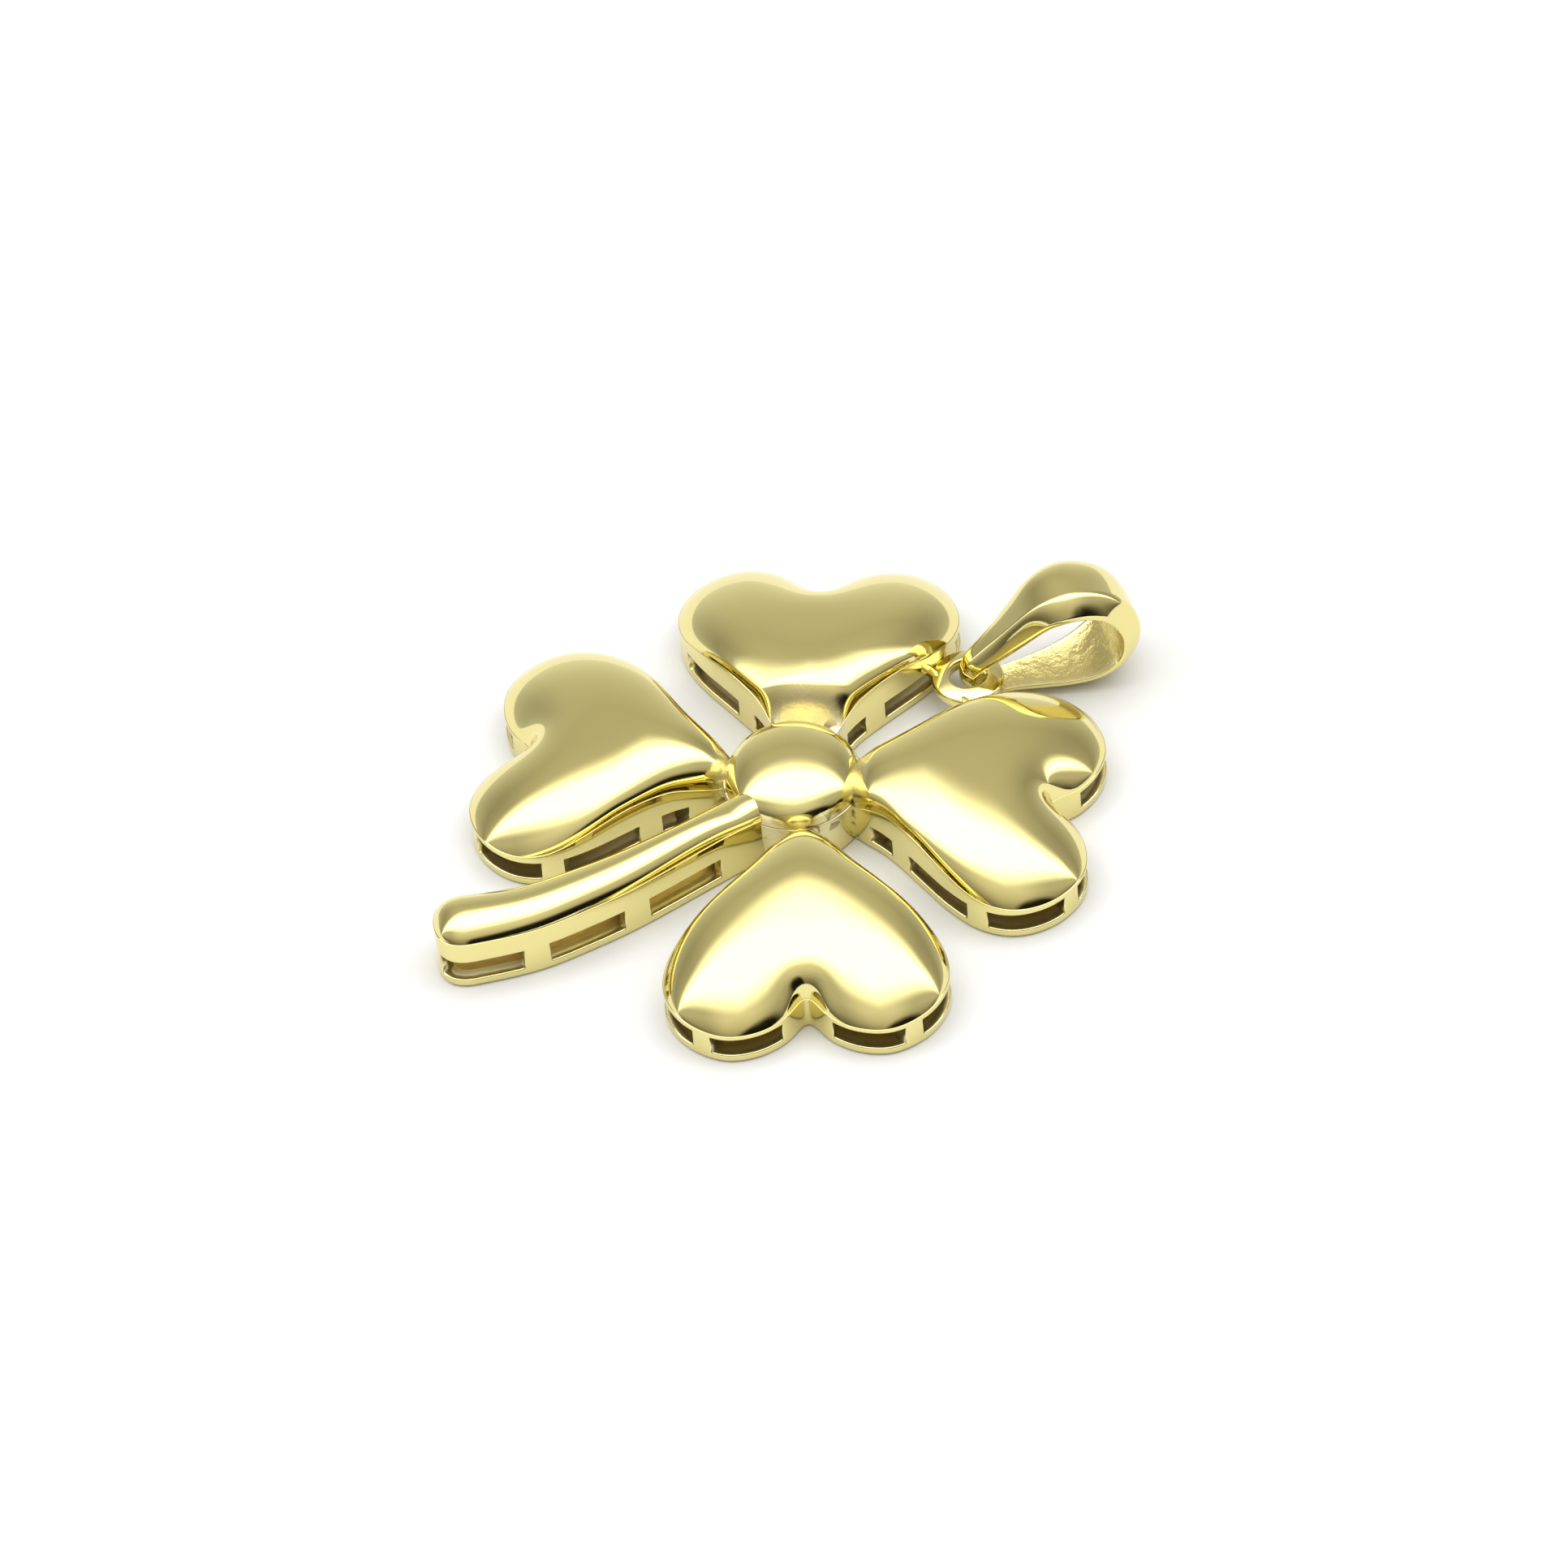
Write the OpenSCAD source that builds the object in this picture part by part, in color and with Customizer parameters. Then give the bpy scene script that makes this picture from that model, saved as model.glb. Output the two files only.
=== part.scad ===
// Four leaf clover pendant with a swinging bail, lying on its back.
// Millimetres, +Z up, origin on the back plate under the middle of the centre dome,
// +Y towards the eye and the bail, the stem towards -Y.

/* [Leaves] */
// length of a leaf from its root point to the lobe ends
leaf_len = 11; // [9.6:0.2:13]
// width of a leaf over both lobes
leaf_wid = 9.8; // [8:0.2:11]
// height of a leaf's top at its middle over the floor
leaf_h = 3.15; // [2.8:0.05:4]
// fall of a leaf's top outwards, share of the distance along the leaf
leaf_lean = 0.12; // [0.04:0.01:0.16]
// highest point of the border between side wall and domed top
edge_h = 2.25; // [2:0.05:2.6]
// thickness of a side wall
wall_t = 0.5; // [0.35:0.05:0.7]
// thickness of the domed top
top_t = 0.45; // [0.3:0.05:0.6]
// thickness of the flat back plate
back_t = 0.33; // [0.28:0.01:0.45]

/* [Side windows] */
// height of the windows in the leaf walls
win_h = 0.74; // [0.4:0.02:0.8]
// height of the windows in the stem walls
stem_win_h = 0.86; // [0.4:0.02:1.2]

/* [Centre dome] */
// radius of the dome's collar
collar_r = 2.42; // [2:0.02:2.8]
// radius of the domed cap on the collar
cap_r = 2.34; // [1.9:0.02:2.7]
// height of the collar
collar_h = 1.8; // [1.5:0.05:2.1]
// height of the dome's top over the floor
dome_h = 3.1; // [2.8:0.05:4]

/* [Stem] */
// distance from the dome's middle to the middle of the stem's round end
stem_len = 12.6; // [10.6:0.1:15]
// how far the stem's end stands to the side
stem_sweep = 1.95; // [0:0.05:2.2]
// half width of the stem at the dome
stem_half = 0.7; // [0.64:0.02:0.9]
// half width of the stem at its round end
stem_end_half = 1.13; // [0.9:0.02:1.3]
// height of the stem's side walls
stem_wall_h = 2.12; // [1.7:0.02:2.5]
// rise of the stem's half round top
stem_rise = 0.62; // [0.5:0.02:0.9]

/* [Eye ring] */
// outer diameter of the eye ring
eye_od = 2.5; // [2.3:0.05:3]
// hole diameter of the eye ring
eye_id = 1.36; // [1.3:0.02:1.5]
// thickness of the eye ring
eye_t = 0.5; // [0.4:0.02:0.6]
// height of the eye ring's middle over the floor
eye_z = 1.08; // [1.06:0.02:1.3]
// distance of the eye ring's middle from the dome's middle
eye_y = 7.85; // [7.6:0.05:8.2]
// eye ring's offset to the side
eye_x = -0.2; // [-0.4:0.05:0.2]

/* [Bail] */
// length of the bail from the hook round the eye to the far end
bail_len = 6.55; // [6:0.05:9]
// height of the bail's loop
bail_loop = 4.78; // [4.4:0.02:6]
// width of the bail's strip at the far end
bail_wid = 2.68; // [2:0.02:3.4]
// width of the strip where it hooks the eye
bail_tip_wid = 0.94; // [0.7:0.02:1]
// thickness of the strip at its ridge at the far end
bail_t = 0.8; // [0.6:0.02:1]
// thickness of the strip in the eye
bail_tip_t = 0.4; // [0.35:0.01:0.44]
// inner radius of the hook round the eye's wire
hook_r = 0.78; // [0.6:0.01:0.9]
// turn of the bail to the side of the pendant's length
bail_turn = 22; // [0:1:28]

/* [Hidden] */
sill = 0.04;           // height of a window's lower rim over the back plate
fine = 2;              // outline samples between two control points

// half outline of a leaf: share of length, share of half width, share of the edge height
leaf_half = [
    [0.145, 0.000, 0.62],
    [0.185, 0.080, 0.65],
    [0.235, 0.172, 0.71],
    [0.300, 0.265, 0.84],
    [0.373, 0.370, 0.96],
    [0.477, 0.588, 1.00],
    [0.582, 0.812, 0.87],
    [0.691, 0.969, 0.69],
    [0.809, 1.000, 0.62],
    [0.923, 0.867, 0.60],
    [0.993, 0.612, 0.58],
    [0.986, 0.357, 0.58],
    [0.932, 0.147, 0.60],
    [0.855, 0.000, 0.63]
];
// leaves: bearing of the leaf's middle, shift outwards, twist about its middle, scale
leaf_set = [
    [43.3, -0.55, 0, 1.015],
    [134.8, -0.73, 2.6, 1.0],
    [218.8, -0.06, 0, 0.99],
    [324.8, 0.32, -2.3, 0.99]
];
// windows of half a leaf: start and end along the outline's control points
leaf_wins = [
    [3.18, 4.13],
    [4.72, 6.62],
    [7.22, 9.26],
    [9.74, 11.87]
];
// stem middle line: share of the sweep, of the length, of the flare and of the wall height
stem_line = [
    [0.17, 0.09, 0.07, 0.88],
    [0.14, 0.24, 0.0, 1.01],
    [0.08, 0.37, 0.03, 1.02],
    [-0.08, 0.57, 0.36, 1.0],
    [-0.285, 0.73, 0.57, 1.0],
    [-0.53, 0.86, 0.75, 1.0],
    [-1.00, 1.00, 1.0, 1.0]
];
// stem windows: start and end along the stem's wall, the last one goes round the end's corner
stem_wins = [
    [1.56, 2.82],
    [3.22, 4.70],
    [5.16, 6.70]
];
// outline of the bail: share of the length from the hook, upper and lower share of half the loop
bail_half = [
    [0.000, 0.00, 0.00],
    [0.014, 0.26, 0.15],
    [0.085, 0.49, 0.29],
    [0.190, 0.60, 0.42],
    [0.305, 0.71, 0.61],
    [0.440, 0.87, 0.81],
    [0.610, 1.04, 0.96],
    [0.790, 0.96, 0.91],
    [0.920, 0.66, 0.65],
    [0.985, 0.32, 0.32],
    [1.000, 0.00, 0.00]
];

leaf_mid = leaf_len * 0.636;
crest_x = leaf_len * 0.582;
round_r = leaf_wid * 0.4;
neck_from = collar_r - 0.25;  // from the dome's middle
neck_run = leaf_len * 0.115;
end_pow = 2.4;         // how square the stem's round end is, 2 is a half circle
wire_r = (eye_od + eye_id) / 4;
hinge_x = eye_x + wire_r * sin(bail_turn);
hinge_y = eye_y + wire_r * cos(bail_turn);

// point on a smooth closed line through the control points p at place u
function smooth(p, u) =
    let (n = len(p), i = floor(u), t = u - i,
         a = p[(i + n - 1) % n], b = p[(i + n) % n],
         c = p[(i + 1) % n], d = p[(i + 2) % n])
    0.5 * (2 * b + (c - a) * t + (2 * a - 5 * b + 4 * c - d) * t * t
        + (3 * b - a - 3 * c + d) * t * t * t);

// point on a smooth open line through the control points p at place u
function smooth_open(p, u) =
    let (n = len(p) - 1, i = min(floor(u), n - 1), t = u - i,
         b = p[i], c = p[i + 1],
         a = i > 0 ? p[i - 1] : 2 * b - c,
         d = i < n - 1 ? p[i + 2] : 2 * c - b)
    0.5 * (2 * b + (c - a) * t + (2 * a - 5 * b + 4 * c - d) * t * t
        + (3 * b - a - 3 * c + d) * t * t * t);

function clamp01(x) = max(0, min(1, x));
function unit(v) = v / norm(v);

// closed control line of a leaf with its edge heights
half_n = len(leaf_half) - 1;
leaf_ctrl = concat(
    [for (q = leaf_half) [q[0] * leaf_len, q[1] * leaf_wid / 2, q[2] * edge_h]],
    [for (i = [half_n - 1:-1:1]) let (q = leaf_half[i])
        [q[0] * leaf_len, -q[1] * leaf_wid / 2, q[2] * edge_h]]);
outline_n = len(leaf_ctrl) * fine;
// places between w[0] and w[1] where a window is cut, clear of the outline's own corners
function stations(w) = concat([w[0]],
    [for (k = [floor(w[0] * 2):ceil(w[1] * 2)]) let (u = k / 2 + 0.25)
        if (u > w[0] + 0.12 && u < w[1] - 0.12) u],
    [w[1]]);

// outward direction of the leaf outline at u
function out_dir(u) =
    let (d = smooth(leaf_ctrl, u + 0.03) - smooth(leaf_ctrl, u - 0.03 + len(leaf_ctrl)))
    unit([-d[1], d[0]]);
// leaf outline moved inwards by inset
function leaf_at(u, inset) =
    let (q = smooth(leaf_ctrl, u), o = out_dir(u))
    [q[0] - o[0] * inset, q[1] - o[1] * inset, q[2]];
// leaf outline drawn in towards the leaf's middle until the wall has its thickness
function leaf_in(u) =
    let (q = smooth(leaf_ctrl, u), o = out_dir(u), v = [leaf_mid - q[0], -q[1]],
         m = wall_t / max(0.35, -(o * v) / norm(v)) / norm(v))
    [q[0] + v[0] * m, q[1] + v[1] * m, q[2]];

// share of the rise over the edge: s 1 at the border and 0 at the crest
function puff(s, pw) = pow(1 - pow(s, 2.4), pw);
// share of the rise left where a leaf that is set out by o falls to the dome
function neck(x, o) = 0.5 - 0.5 * cos(180 * clamp01((x + o - neck_from) / neck_run));
// height of the border at q: the hollow's border is lower by low and dips at the neck
function border_z(q, low, o) = q[2] - low - 2.2 * low * (1 - neck(q[0] - 2 * low, o));
// point of the domed top over the border point q
function top_at(q, s, crest, low, pw, o) =
    let (dx = q[0] - crest_x, a = atan2(q[1], dx), b = 0.6 * pow(1 - s, 1.2),
         x = crest_x + s * (dx * (1 - b) + round_r * cos(a) * b),
         y = s * (q[1] * (1 - b) + round_r * sin(a) * b),
         e = border_z(q, low, o))
    [x, y, e + (crest - leaf_lean * (x - crest_x) - e) * puff(s, pw) * neck(x - 3 * low, o)];

// solid between rings of equal length, closed by the first ring and by an apex;
// every four points are split along the shorter way
module ring_skin(rings, apex) {
    n = len(rings[0]);
    m = len(rings);
    all = [for (r = rings) each r];
    polyhedron(
        points = concat(all, [apex]),
        faces = concat(
            [[for (i = [n - 1:-1:0]) i]],
            [for (k = [0:m - 2], i = [0:n - 1])
                let (a = k * n + i, b = k * n + (i + 1) % n, c = b + n, d = a + n)
                each norm(all[b] - all[d]) < norm(all[a] - all[c])
                    ? [[a, b, d], [b, c, d]] : [[a, b, c], [a, c, d]]],
            [for (i = [0:n - 1]) [(m - 1) * n + i, (m - 1) * n + (i + 1) % n, m * n]]),
        convexity = 6);
}

// solid between sections of equal length with a cap at each end
module bar_skin(secs) {
    n = len(secs[0]);
    m = len(secs);
    polyhedron(
        points = [for (r = secs) each r],
        faces = concat(
            [[for (i = [n - 1:-1:0]) i]],
            [for (k = [0:m - 2], i = [0:n - 1]) each [
                [k * n + i, k * n + (i + 1) % n, (k + 1) * n + (i + 1) % n],
                [k * n + i, (k + 1) * n + (i + 1) % n, (k + 1) * n + i]]],
            [[for (i = [0:n - 1]) (m - 1) * n + i]]),
        convexity = 6);
}

// closed loop of sections
module loop_skin(secs) {
    n = len(secs[0]);
    m = len(secs);
    polyhedron(
        points = [for (r = secs) each r],
        faces = [for (k = [0:m - 1], i = [0:n - 1])
            let (a = k * n, b = ((k + 1) % m) * n, j = (i + 1) % n) each [
                [a + i, a + j, b + j],
                [a + i, b + j, b + i]]],
        convexity = 8);
}

module leaf_outside(o) {
    line = [for (i = [0:outline_n - 1]) leaf_at(i / fine, 0)];
    steps = [0.975, 0.93, 0.86, 0.74, 0.57, 0.36, 0.15];
    ring_skin(concat(
        [[for (q = line) [q[0], q[1], 0]], line],
        [for (s = steps) [for (q = line) top_at(q, s, leaf_h, 0, 0.48, o)]]),
        [crest_x, 0, leaf_h]);
}

// hollow of a leaf set out by o, with a flat end inside the dome's collar
module leaf_hollow(o) {
    from_x = collar_r - 0.1 - o;
    line = [for (i = [0:outline_n - 1]) let (q = leaf_in(i / fine))
        [max(q[0], from_x), q[1], q[2]]];
    low = 0.12;
    steps = [0.9, 0.7, 0.4];
    ring_skin(concat(
        [[for (q = line) [q[0], q[1], back_t]],
         [for (q = line) [q[0], q[1], border_z(q, low, o)]]],
        [for (s = steps) [for (q = line) top_at(q, s, leaf_h - top_t, low, 0.75, o)]]),
        [crest_x, 0, leaf_h - top_t]);
}

// block between two upright blades of four corners each
module block(a, b) {
    hull()
        polyhedron(points = concat(a, b), faces = [[0, 1, 2, 3], [7, 6, 5, 4],
            [4, 5, 1, 0], [5, 6, 2, 1], [6, 7, 3, 2], [7, 4, 0, 3]]);
}

// upright blade of height h across a wall at q with outward direction o
function blade(q, o, h) =
    let (z = back_t + sill, i = wall_t + 0.2, j = 0.3)
    [[q[0] - o[0] * i, q[1] - o[1] * i, z], [q[0] + o[0] * j, q[1] + o[1] * j, z],
     [q[0] + o[0] * j, q[1] + o[1] * j, z + h], [q[0] - o[0] * i, q[1] - o[1] * i, z + h]];

module leaf_windows() {
    for (w = leaf_wins, side = [0, 1]) {
        places = stations(w);
        blades = [for (u = places) blade(leaf_at(u, 0), out_dir(u), win_h)];
        mirror([0, side, 0])
            for (k = [1:len(places) - 1]) block(blades[k - 1], blades[k]);
    }
}

// a leaf shape set at its place round the dome
module in_place(l) {
    rotate([0, 0, l[0]])
        translate([leaf_mid + l[1], 0, 0])
            rotate([0, 0, l[2]])
                scale([l[3], l[3], 1]) translate([-leaf_mid, 0, 0])
                    children();
}

// stem: middle point, half width, wall height and direction at place u
stem_n = len(stem_line) - 1;
function stem_mid(u) =
    let (q = smooth_open(stem_line, u))
    [q[0] * stem_sweep, -q[1] * stem_len, stem_half + q[2] * (stem_end_half - stem_half),
     q[3] * stem_wall_h];
function stem_dir(u) =
    let (a = stem_mid(max(0, u - 0.05)), b = stem_mid(min(stem_n, u + 0.05)))
    unit([b[0] - a[0], b[1] - a[1]]);
// superellipse of the stem's end: shares across and along at angle g
function end_across(g) = pow(max(0, cos(g)), 2 / end_pow);
function end_along(g) = pow(max(0, sin(g)), 2 / end_pow);

// cross section of the stem: middle c, direction d, half width a, floor, wall top and rise
function stem_ring(c, d, a, floor, wall, rise) =
    let (s = [-d[1], d[0]])
    concat([[c[0] - s[0] * a, c[1] - s[1] * a, floor]],
        [for (i = [0:10]) let (g = 180 - 18 * i)
            [c[0] + s[0] * a * cos(g), c[1] + s[1] * a * cos(g), wall + rise * sin(g)]],
        [[c[0] + s[0] * a, c[1] + s[1] * a, floor]]);

module stem_shape(inset, floor, lower) {
    d = stem_dir(stem_n);
    e = stem_mid(stem_n);
    a_end = e[2] - inset;
    rise = stem_rise - lower;
    bar_skin(concat(
        [for (k = [0:2 * stem_n]) let (u = k / 2, c = stem_mid(u))
            stem_ring(c, stem_dir(u), c[2] - inset, floor, c[3], rise)],
        [for (g = [14, 30, 46, 62, 76, 86])
            let (f = a_end * end_along(g), h = g > 80 ? 0.7 : 1)
            stem_ring([e[0] + d[0] * f, e[1] + d[1] * f], d, a_end * end_across(g) * h,
                floor, e[3], rise * end_across(g) * h)]));
}

// point of the stem's wall and its outward direction at v: past stem_n it goes round the end
function stem_wall(v, side) =
    let (u = min(v, stem_n), c = stem_mid(u), d = stem_dir(u), s = [-d[1], d[0]] * side,
         g = 90 * max(0, v - stem_n), x = end_across(g), y = end_along(g),
         o = v > stem_n ? unit(s * pow(x, end_pow - 1) + d * pow(y, end_pow - 1)) : s)
    [[c[0] + (s[0] * x + d[0] * y) * c[2], c[1] + (s[1] * x + d[1] * y) * c[2]], o];

module stem_windows() {
    for (w = stem_wins, side = [1, -1]) {
        blades = [for (v = stations(w)) let (e = stem_wall(v, side)) blade(e[0], e[1], stem_win_h)];
        for (k = [1:len(blades) - 1]) block(blades[k - 1], blades[k]);
    }
}

// turned profile of the centre dome with its small collar step
module dome_outside() {
    rise = dome_h - collar_h;
    rotate_extrude($fn = 48)
        polygon(concat(
            [[0, 0], [collar_r, 0], [collar_r, collar_h - 0.06],
             [collar_r - 0.05, collar_h], [cap_r, collar_h]],
            [for (g = [9:9:81]) [cap_r * cos(g), collar_h + rise * sin(g)]],
            [[0, dome_h]]));
}

module dome_hollow() {
    r = cap_r - wall_t;
    rise = dome_h - collar_h;
    rotate_extrude($fn = 32)
        polygon(concat(
            [[0, back_t + sill], [r, back_t + sill], [r, collar_h - 0.1]],
            [for (g = [18:18:72]) [r * cos(g), collar_h - 0.1 + (rise - top_t + 0.1) * sin(g)]],
            [[0, dome_h - top_t]]));
}

module eye_ring() {
    edge = 0.1;
    ri = eye_id / 2;
    ro = eye_od / 2;
    translate([eye_x, eye_y, eye_z - eye_t / 2])
        rotate_extrude($fn = 40)
            polygon([[ri + edge, 0], [ro - edge, 0], [ro, edge], [ro, eye_t - edge],
                [ro - edge, eye_t], [ri + edge, eye_t], [ri, eye_t - edge], [ri, edge]]);
}

// short solder feet from the eye ring to the two leaf walls beside it
module eye_feet() {
    for (f = [[0, 6.1, 1], [1, 6.1, -1]]) {
        l = leaf_set[f[0]];
        hull() {
            in_place(l)
                translate([leaf_at(f[1], wall_t / 2)[0], f[2] * leaf_at(f[1], wall_t / 2)[1],
                    eye_z - eye_t / 2 + 0.06])
                    cylinder(r = 0.2, h = eye_t - 0.12, $fn = 16);
            translate([eye_x + f[2] * wire_r * 0.62, eye_y - wire_r * 0.78, eye_z - eye_t / 2 + 0.06])
                cylinder(r = 0.2, h = eye_t - 0.12, $fn = 16);
        }
    }
}

module clover() {
    color([0.84, 0.75, 0.45])
        difference() {
            union() {
                for (l = leaf_set) in_place(l) leaf_outside(l[1]);
                stem_shape(0, 0, 0);
                dome_outside();
                eye_ring();
                eye_feet();
            }
            for (l = leaf_set) in_place(l) {
                leaf_hollow(l[1]);
                leaf_windows();
            }
            stem_shape(wall_t * 0.9, back_t, top_t);
            stem_windows();
            dome_hollow();
        }
}

// bail in its own frame: hinge at the origin, x across, y along, z up the loop
bail_n = len(bail_half) - 1;
hook_out = hook_r + bail_tip_t;
bail_ctrl = concat(
    [for (q = bail_half) [q[0] * bail_len - hook_out, q[1] * bail_loop / 2]],
    [for (i = [bail_n - 1:-1:1]) let (q = bail_half[i])
        [q[0] * bail_len - hook_out, -q[2] * bail_loop / 2]]);
bail_spans = len(bail_ctrl);
function bail_out(u) =
    let (d = smooth(bail_ctrl, u + 0.03) - smooth(bail_ctrl, u - 0.03 + bail_spans))
    unit([-d[1], d[0]]);
// share of the way from the hook to the far end
function bail_share(p) = clamp01((p[0] + hook_out) / bail_len);
function bail_w(s) = bail_tip_wid + (bail_wid - bail_tip_wid) * pow(sin(90 * clamp01(s / 0.85)), 1.8);
function bail_th(s) = bail_tip_t + (bail_t - bail_tip_t) * sin(90 * clamp01(s / 0.8));
// D shaped section: domed outside, thin rims, hollowed inner face
function bail_section(u) =
    let (p = smooth(bail_ctrl, u), o = bail_out(u), s = bail_share(p),
         w = bail_w(s) / 2, t = bail_th(s), rim = t * 0.42)
    concat(
        [for (i = [0:8]) let (g = 22.5 * i, dip = (t - rim) * (1 - sin(g)))
            [w * cos(g), p[0] - o[0] * dip, p[1] - o[1] * dip]],
        [for (q = [[-1, 0], [-0.7, 0.16], [0, 0.24], [0.7, 0.16], [1, 0]])
            let (dip = t - q[1] * rim)
            [w * q[0] * 0.97, p[0] - o[0] * dip, p[1] - o[1] * dip]]);

bail_steps = bail_spans * 2;
function lowest(a) = min([for (k = [0:bail_steps - 1])
    let (p = smooth(bail_ctrl, k / 2)) p[0] * sin(a) + p[1] * cos(a)]);
// angle at which the loop's low side just meets the floor
function settle(lo, hi, n) =
    let (m = (lo + hi) / 2)
    n == 0 ? m : lowest(m) + eye_z > 0.005 ? settle(lo, m, n - 1) : settle(m, hi, n - 1);
bail_lift = settle(0, 45, 18);

module bail() {
    color([0.86, 0.77, 0.47])
        translate([hinge_x, hinge_y, eye_z])
            rotate([0, 0, -bail_turn])
                rotate([bail_lift, 0, 0])
                    loop_skin([for (k = [0:bail_steps - 1]) bail_section(k / 2)]);
}

clover();
bail();
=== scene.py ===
"""Four leaf clover pendant of polished yellow gold with a swinging bail, lying on its back.

Sizes are millimetres in the classes and become metres when a mesh is made. +Z is up out of the
pendant's face, +Y runs to the eye ring and the bail, and the origin is on the back under the
middle of the centre dome.
"""
import logging
import math
from collections.abc import Callable
from dataclasses import dataclass, field
from enum import Enum

import bmesh
import bpy
import numpy as np
from mathutils import Matrix


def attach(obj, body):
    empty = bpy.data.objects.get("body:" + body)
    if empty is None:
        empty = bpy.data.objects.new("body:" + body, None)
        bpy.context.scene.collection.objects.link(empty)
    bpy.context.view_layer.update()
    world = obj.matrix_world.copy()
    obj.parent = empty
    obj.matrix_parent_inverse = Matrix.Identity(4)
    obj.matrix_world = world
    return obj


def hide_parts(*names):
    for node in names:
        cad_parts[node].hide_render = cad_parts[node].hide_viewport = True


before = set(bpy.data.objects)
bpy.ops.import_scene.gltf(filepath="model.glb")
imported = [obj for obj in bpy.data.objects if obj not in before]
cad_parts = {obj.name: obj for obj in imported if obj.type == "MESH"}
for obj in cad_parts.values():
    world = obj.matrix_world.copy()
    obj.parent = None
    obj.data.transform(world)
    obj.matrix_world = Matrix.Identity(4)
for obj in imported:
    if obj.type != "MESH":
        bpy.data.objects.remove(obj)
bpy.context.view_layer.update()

MM = 0.001
TURN = 2 * math.pi
RAW = "raw_cast"  # vertex attribute: 0 on polished metal, 1 on metal left as cast; the gold's colour follows it too, painted paler (partly painted highlight) and, on the insides, deeper (painted shade)
GUARD = 0.035  # distance of the line that keeps a wall flat beyond a window's rounded edge
LOG = logging.getLogger("clover_pendant")


class Body(Enum):
    """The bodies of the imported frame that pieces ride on."""

    CLOVER = "clover"
    BAIL = "bail"


class Slot(Enum):
    """The record's material slots."""

    GOLD = "gold"
    BAIL_GOLD = "bail_gold"


# ---- lines and profiles ----


def closed_line(points: np.ndarray, per: int, soft: float) -> np.ndarray:
    """Fair closed line through control points.

    Catmull-Rom pieces join the points, and a Gaussian low pass over the closed line then takes
    out the jumps in curvature that would show in a mirror finish.

    Args:
        points: control points, one row each.
        per: samples between two control points.
        soft: width of the low pass, in control point steps.

    Returns:
        One row per sample, starting at the first control point.
    """
    n = len(points)
    u = np.arange(n * per) / per
    i = np.floor(u).astype(int)
    t = (u - i)[:, None]
    a, b, c, d = (points[(i + k) % n] for k in (-1, 0, 1, 2))
    line = 0.5 * (2 * b + (c - a) * t + (2 * a - 5 * b + 4 * c - d) * t**2
                  + (3 * b - a - 3 * c + d) * t**3)
    wave = np.fft.rfftfreq(n * per) * per * TURN * soft
    return np.fft.irfft(np.fft.rfft(line, axis=0) * np.exp(-wave**2 / 2)[:, None], n * per, axis=0)


def along(line: np.ndarray, u: np.ndarray, per: int) -> np.ndarray:
    """Points of a sampled closed line at places u, by straight steps between its close samples."""
    x = np.mod(np.asarray(u, float) * per, len(line))
    i = np.floor(x).astype(int)
    t = (x - i)[..., None]
    return line[i % len(line)] * (1 - t) + line[(i + 1) % len(line)] * t


def open_line(points: np.ndarray, u: np.ndarray) -> np.ndarray:
    """Natural cubic spline through control points at whole numbers.

    The second derivatives follow from one tridiagonal system, so the curvature has no jumps.

    Args:
        points: control points, one row each.
        u: places from 0 to the number of points less one.

    Returns:
        One row per place.
    """
    n = len(points)
    system = np.eye(n)
    inner = np.arange(1, n - 1)
    system[inner, inner] = 4
    system[inner, inner - 1] = system[inner, inner + 1] = 1
    right = np.zeros_like(points)
    right[1:-1] = 6 * (points[2:] - 2 * points[1:-1] + points[:-2])
    bend = np.linalg.solve(system, right)
    i = np.clip(np.floor(u).astype(int), 0, n - 2)
    t = (u - i)[:, None]
    s = 1 - t
    return (s * points[i] + t * points[i + 1]
            + ((s**3 - s) * bend[i] + (t**3 - t) * bend[i + 1]) / 6)


def left_of(run: np.ndarray) -> np.ndarray:
    """Unit vectors to the left of plane directions, one row each."""
    turned = np.stack([-run[:, 1], run[:, 0]], 1)
    return turned / np.linalg.norm(turned, axis=1, keepdims=True)


def ease(x: np.ndarray | float) -> np.ndarray | float:
    """Cosine step from 0 to 1 for x from 0 to 1, flat outside."""
    return 0.5 - 0.5 * np.cos(np.pi * np.clip(x, 0, 1))


def spaced(knots: list[tuple[float, float]], step: float
           ) -> tuple[np.ndarray, np.ndarray, list[int]]:
    """Even steps between paired knots.

    Args:
        knots: places on the outer and on the inner line, rising.
        step: longest step.

    Returns:
        Outer places, inner places, and the position of each knot among them.
    """
    outer, inner, where = [knots[0][0]], [knots[0][1]], [0]
    for (a0, b0), (a1, b1) in zip(knots[:-1], knots[1:]):
        n = max(1, math.ceil((a1 - a0) / step))
        share = np.arange(1, n + 1) / n
        outer.extend(a0 + (a1 - a0) * share)
        inner.extend(b0 + (b1 - b0) * share)
        where.append(len(outer) - 1)
    return np.array(outer), np.array(inner), where


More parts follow.
